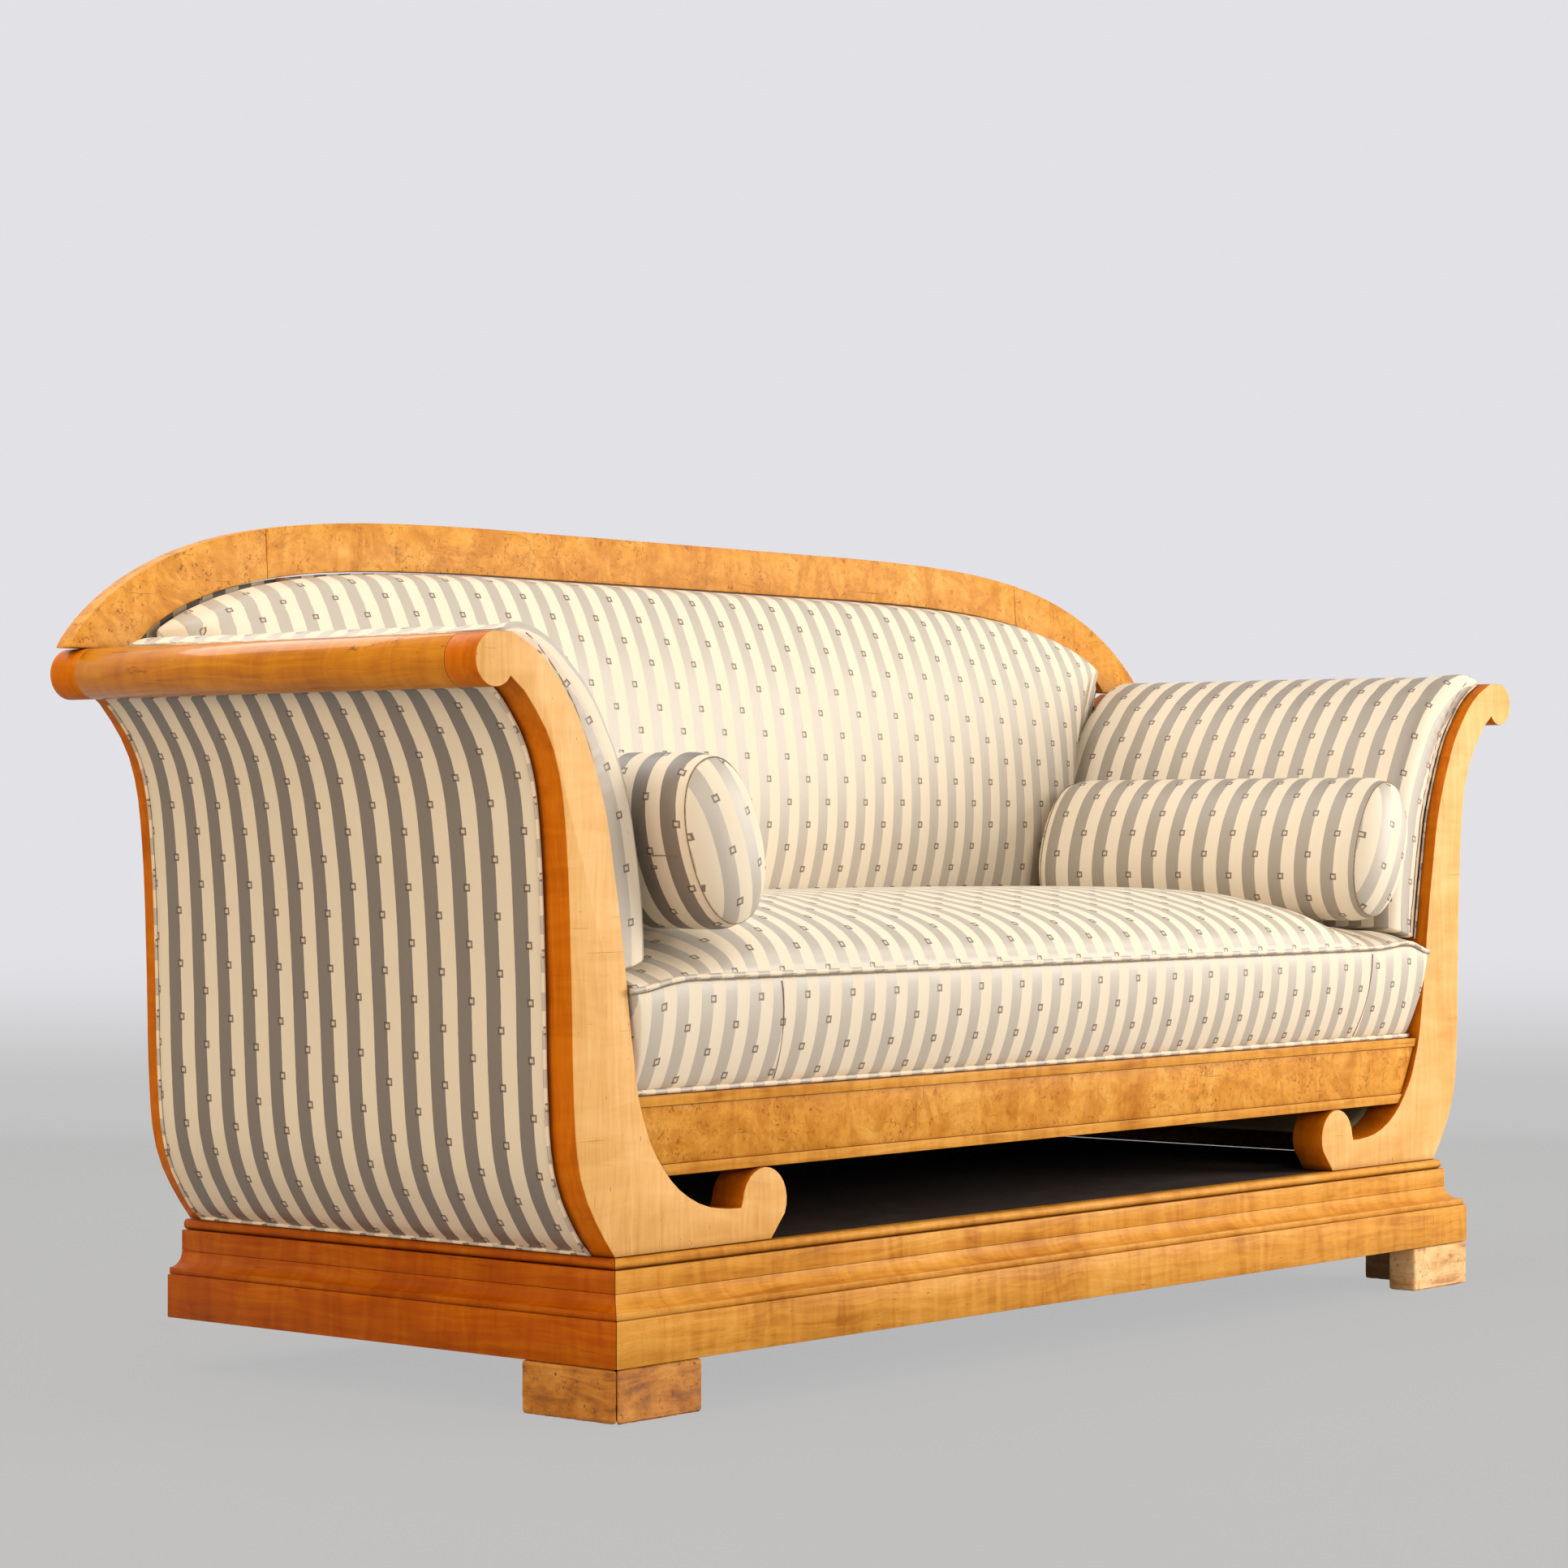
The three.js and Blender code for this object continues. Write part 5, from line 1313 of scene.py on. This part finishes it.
def make_bolster_cover(label, bolster, rings):
    sign = bolster["sign"]
    round_marks = tube_marks(label)
    points = []
    cloth_marks = []
    end_marks = []

    def put(share, angle, y, mark):
        point, end_mark = bolster_point(bolster, share, angle, y)
        points.append(point)
        cloth_marks.append((y, mark, 0))
        end_marks.append(end_mark)

    for share, y, gather in rings:
        for k in range(BOLSTER_AROUND):
            angle = 2 * math.pi * k / BOLSTER_AROUND
            c, s = math.cos(angle), math.sin(angle)
            uneven = ripple(0.007, 0.11, c, s, sign, 3.0) * gather
            uneven += ripple(0.010, 0.9, c, s, y / 0.25, 1.0 + sign) * share
            put(share + uneven, angle, y, round_marks[k])
    faces = loop_grid(len(rings), BOLSTER_AROUND, closed_caps=False)
    last = (len(rings) - 1) * BOLSTER_AROUND
    for first, y in ((0, bolster["front"] - BOLSTER_DOME), (last, bolster["rear"] + BOLSTER_DOME)):
        centre = len(points)
        put(0.0, 0.0, y, 0.0)
        faces += [(first + k, first + (k + 1) % BOLSTER_AROUND, centre) for k in range(BOLSTER_AROUND)]
    materials = [bolster_cloth[label], bolster_end_cloth[label]]
    marks = {"cloth": cloth_marks, "disc": end_marks}
    piece = make_piece(f"bolster_cover_{label}", points, faces, materials, marks, body=f"bolster_{label}")
    material_numbers = []
    for polygon in piece.data.polygons:
        ys = [piece.data.vertices[v].co.y for v in polygon.vertices]
        on_end = max(ys) <= bolster["front"] + 1e-6 or min(ys) >= bolster["rear"] - 1e-6
        material_numbers.append(int(on_end))
    piece.data.polygons.foreach_set("material_index", material_numbers)
    return piece


def make_bolster(label):
    bolster = BOLSTERS[label]
    body = f"bolster_{label}"
    rings = bolster_rings(bolster)
    piece = make_bolster_cover(label, bolster, rings)
    held = np.zeros((len(rings), BOLSTER_AROUND))
    for seam_ring in (DOME_STEPS, len(rings) - DOME_STEPS - 1):
        held[seam_ring - 1:seam_ring + 2] = 1
    inflate(piece, np.r_[held.ravel(), 0, 0], 3 * MM, 1.0)
    add_subdivision(piece)
    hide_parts(f"bolster_{label}")
    closing = []
    for ring in range(DOME_STEPS + 3, len(rings) - DOME_STEPS - 3):
        point = piece.data.vertices[ring * BOLSTER_AROUND + 1].co
        closing.append(point + Vector((bolster["sign"] * 0.3 * MM, 0, 0)))
    add_thread(f"bolster_closing_seam_{label}", closing, body)
    for end, y in (("front", bolster["front"] + 0.2 * MM), ("rear", bolster["rear"] - 0.2 * MM)):
        angles = np.linspace(0, 2 * math.pi, 121)
        path = [bolster_point(bolster, BOLSTER_SEAM_SHARE * SEAM_PROUD, angle, y)[0] for angle in angles]
        add_thread(f"bolster_seam_{label}_{end}", path, body, up=(0.0, 1.0, 0.0), closed=True)


# Stage, light and camera
CAMERA_PLACE = (-4.1081, -3.30845, 0.6505)
CAMERA_YAW = 0.7022
CAMERA_PITCH = 0.0109
CAMERA_LENS = 91.90
SENSOR_WIDTH = 36.0
FLOOR_COLOUR = "C2C2C2"
WALL_COLOUR = "E2E1E6"
STAGE_REACH = 34.0
STAGE_BEND = 4.0
STAGE_HEIGHT = 26.0
STAGE_SIDES = 96


def make_camera():
    data = bpy.data.cameras.new("photo_camera")
    data.sensor_width = SENSOR_WIDTH
    data.lens = CAMERA_LENS
    data.clip_end = 200
    camera = bpy.data.objects.new("photo_camera", data)
    bpy.context.scene.collection.objects.link(camera)
    camera.location = CAMERA_PLACE
    camera.rotation_euler = (math.pi / 2 + CAMERA_PITCH, 0, CAMERA_YAW - math.pi / 2)
    bpy.context.scene.camera = camera


def stage_paint():
    """Pale paint that turns paler with its distance ahead of the camera, and takes shadows near the sofa."""
    t = Tree("stage_paint")
    place = t.add("ShaderNodeNewGeometry").outputs["Position"]
    split = t.split(place)
    ahead = t.plus(t.times(t.minus(split[0], CAMERA_PLACE[0]), math.cos(CAMERA_YAW)),
                   t.times(t.minus(split[1], CAMERA_PLACE[1]), math.sin(CAMERA_YAW)))
    nearness = t.math("DIVIDE", 1.0, t.math("MAXIMUM", t.math("ABSOLUTE", ahead), 0.5))
    paint = t.mix(t.level(nearness, 0.105, 0.045), rgba(FLOOR_COLOUR), rgba(WALL_COLOUR))
    tint = t.stain(paint, t.noise(place, 3.0, 4.0), 0.02, "FFFFFF")
    matt = t.add("ShaderNodeBsdfDiffuse", {"Color": rgba("A2A09E")})
    glow = t.add("ShaderNodeEmission", {"Color": tint, "Strength": 1.0})
    path = t.add("ShaderNodeLightPath").outputs
    seen = t.math("MAXIMUM", path["Is Camera Ray"], path["Is Glossy Ray"])
    far = t.math("MAXIMUM", t.level(nearness, 0.16, 0.11), 0.86)
    shaders = {0: t.times(seen, far), 1: matt.outputs[0], 2: glow.outputs[0]}
    return t.finish(t.add("ShaderNodeMixShader", shaders))


def make_stage():
    """A pale floor that turns up into a paler wall far behind the sofa."""
    flat = STAGE_REACH - STAGE_BEND
    profile = [(radius, 0.0) for radius in np.linspace(1.5, flat, 24)]
    for angle in np.linspace(0.1, math.pi / 2, 10):
        profile.append((flat + STAGE_BEND * math.sin(angle), STAGE_BEND * (1 - math.cos(angle))))
    profile += [(STAGE_REACH, z) for z in np.linspace(STAGE_BEND + 1, STAGE_HEIGHT, 8)]
    points = [(0, 0, 0)]
    faces = []
    for number, (radius, z) in enumerate(profile):
        first = len(points)
        for k in range(STAGE_SIDES):
            angle = 2 * math.pi * k / STAGE_SIDES
            points.append((radius * math.cos(angle), radius * math.sin(angle), z))
            here, ahead = first + k, first + (k + 1) % STAGE_SIDES
            inner = (here - STAGE_SIDES, ahead - STAGE_SIDES)
            faces.append((inner[0], here, ahead, inner[1]) if number else (0, here, ahead))
    floor = plain_mesh("studio_floor", points, faces, [stage_paint()])


def area_light(name, place, target, width, height, power, tint):
    data = bpy.data.lights.new(name, "AREA")
    data.shape = "RECTANGLE"
    data.size = width
    data.size_y = height
    data.energy = power
    data.color = rgb(tint)
    lamp = bpy.data.objects.new(name, data)
    bpy.context.scene.collection.objects.link(lamp)
    lamp.location = place
    direction = Vector(target) - Vector(place)
    lamp.rotation_euler = direction.to_track_quat("-Z", "Y").to_euler()


def make_lights():
    world = bpy.data.worlds.new("studio_air")
    bpy.context.scene.world = world
    world.use_nodes = True
    background = world.node_tree.nodes["Background"]
    background.inputs[0].default_value = (1.0, 0.985, 0.965, 1)
    background.inputs[1].default_value = 0.52
    area_light("key_right", (3.6, -3.4, 1.7), (0.1, 0, 0.55), 3.2, 2.6, 246, "FFF9F0")
    area_light("front_fill", (-1.6, -4.6, 1.5), (0, 0, 0.5), 2.6, 2.2, 74, "FFFAF2")
    area_light("top_panel", (-1.0, 0.0, 3.2), (-0.3, 0, 0.4), 1.5, 2.4, 30, "FFFCF6")
    area_light("rear_panel", (-0.6, 2.9, 3.8), (-0.9, 0, 0.8), 3.4, 1.7, 70, "FFFDF8")
    area_light("left_fill", (-4.6, -0.2, 1.8), (-0.8, 0, 0.5), 2.4, 2.4, 92, "FFE9CC")


# Cloth for each face: the shift and lift set where its stripes and squares fall, and its greys set the grey
# stripe's painted sheen and shade
seat_cloth = striped_cloth("seat_stripes", 25.4, 36.2, 1, 41.4, 61.7, SHEEN_LIT_GREYS)
back_cloth = striped_cloth("back_stripes", 9.5, 0, 1, 41.8, 62.5, SHEEN_LIT_GREYS)
back_outer_cloth = striped_cloth("back_outer_stripes", 9.5, period=41.8)
piping_cloth = striped_cloth("piping_stripes", lift=20, greys=SHEEN_LIT_GREYS)
arm_cloth = {
    "left": striped_cloth("arm_stripes_left", 29.2, 5, 1, 42.6, greys=SHEEN_LIT_GREYS),
    "right": striped_cloth("arm_stripes_right", 25.8, 5, -1, 42.6, greys=HALF_LIT_GREYS),
}
side_cloth = {
    label: striped_cloth(f"side_stripes_{label}", 22.1, 49.6, -1, 44.05, 63.2)
    for label, _ in SIDES
}
bolster_cloth = {
    "left": striped_cloth("bolster_stripes_left", 22.8, 49.6, -1, 43.4),
    "right": striped_cloth("bolster_stripes_right", 26.5, 37.8, -1, 43.4, greys=HALF_LIT_GREYS),
}
bolster_end_cloth = {
    "left": striped_cloth("bolster_end_left", -5, 5, greys=SHEEN_LIT_GREYS, marks="disc"),
    "right": striped_cloth("bolster_end_right", -6, 31, greys=SHEEN_LIT_GREYS, marks="disc"),
}

dress_woods()
make_camera()
make_stage()
make_lights()
make_seat()
make_seat_piping()
for label, sign in SIDES:
    make_arm_pad(label, sign)
    make_arm_seam(label, sign)
    make_outer_panel(label, sign)
    make_bolster(label)
make_back()
make_back_sheets()
for label, sign in SIDES:
    make_arm_lining(label, sign)

scene = bpy.context.scene
scene.view_settings.view_transform = "Standard"
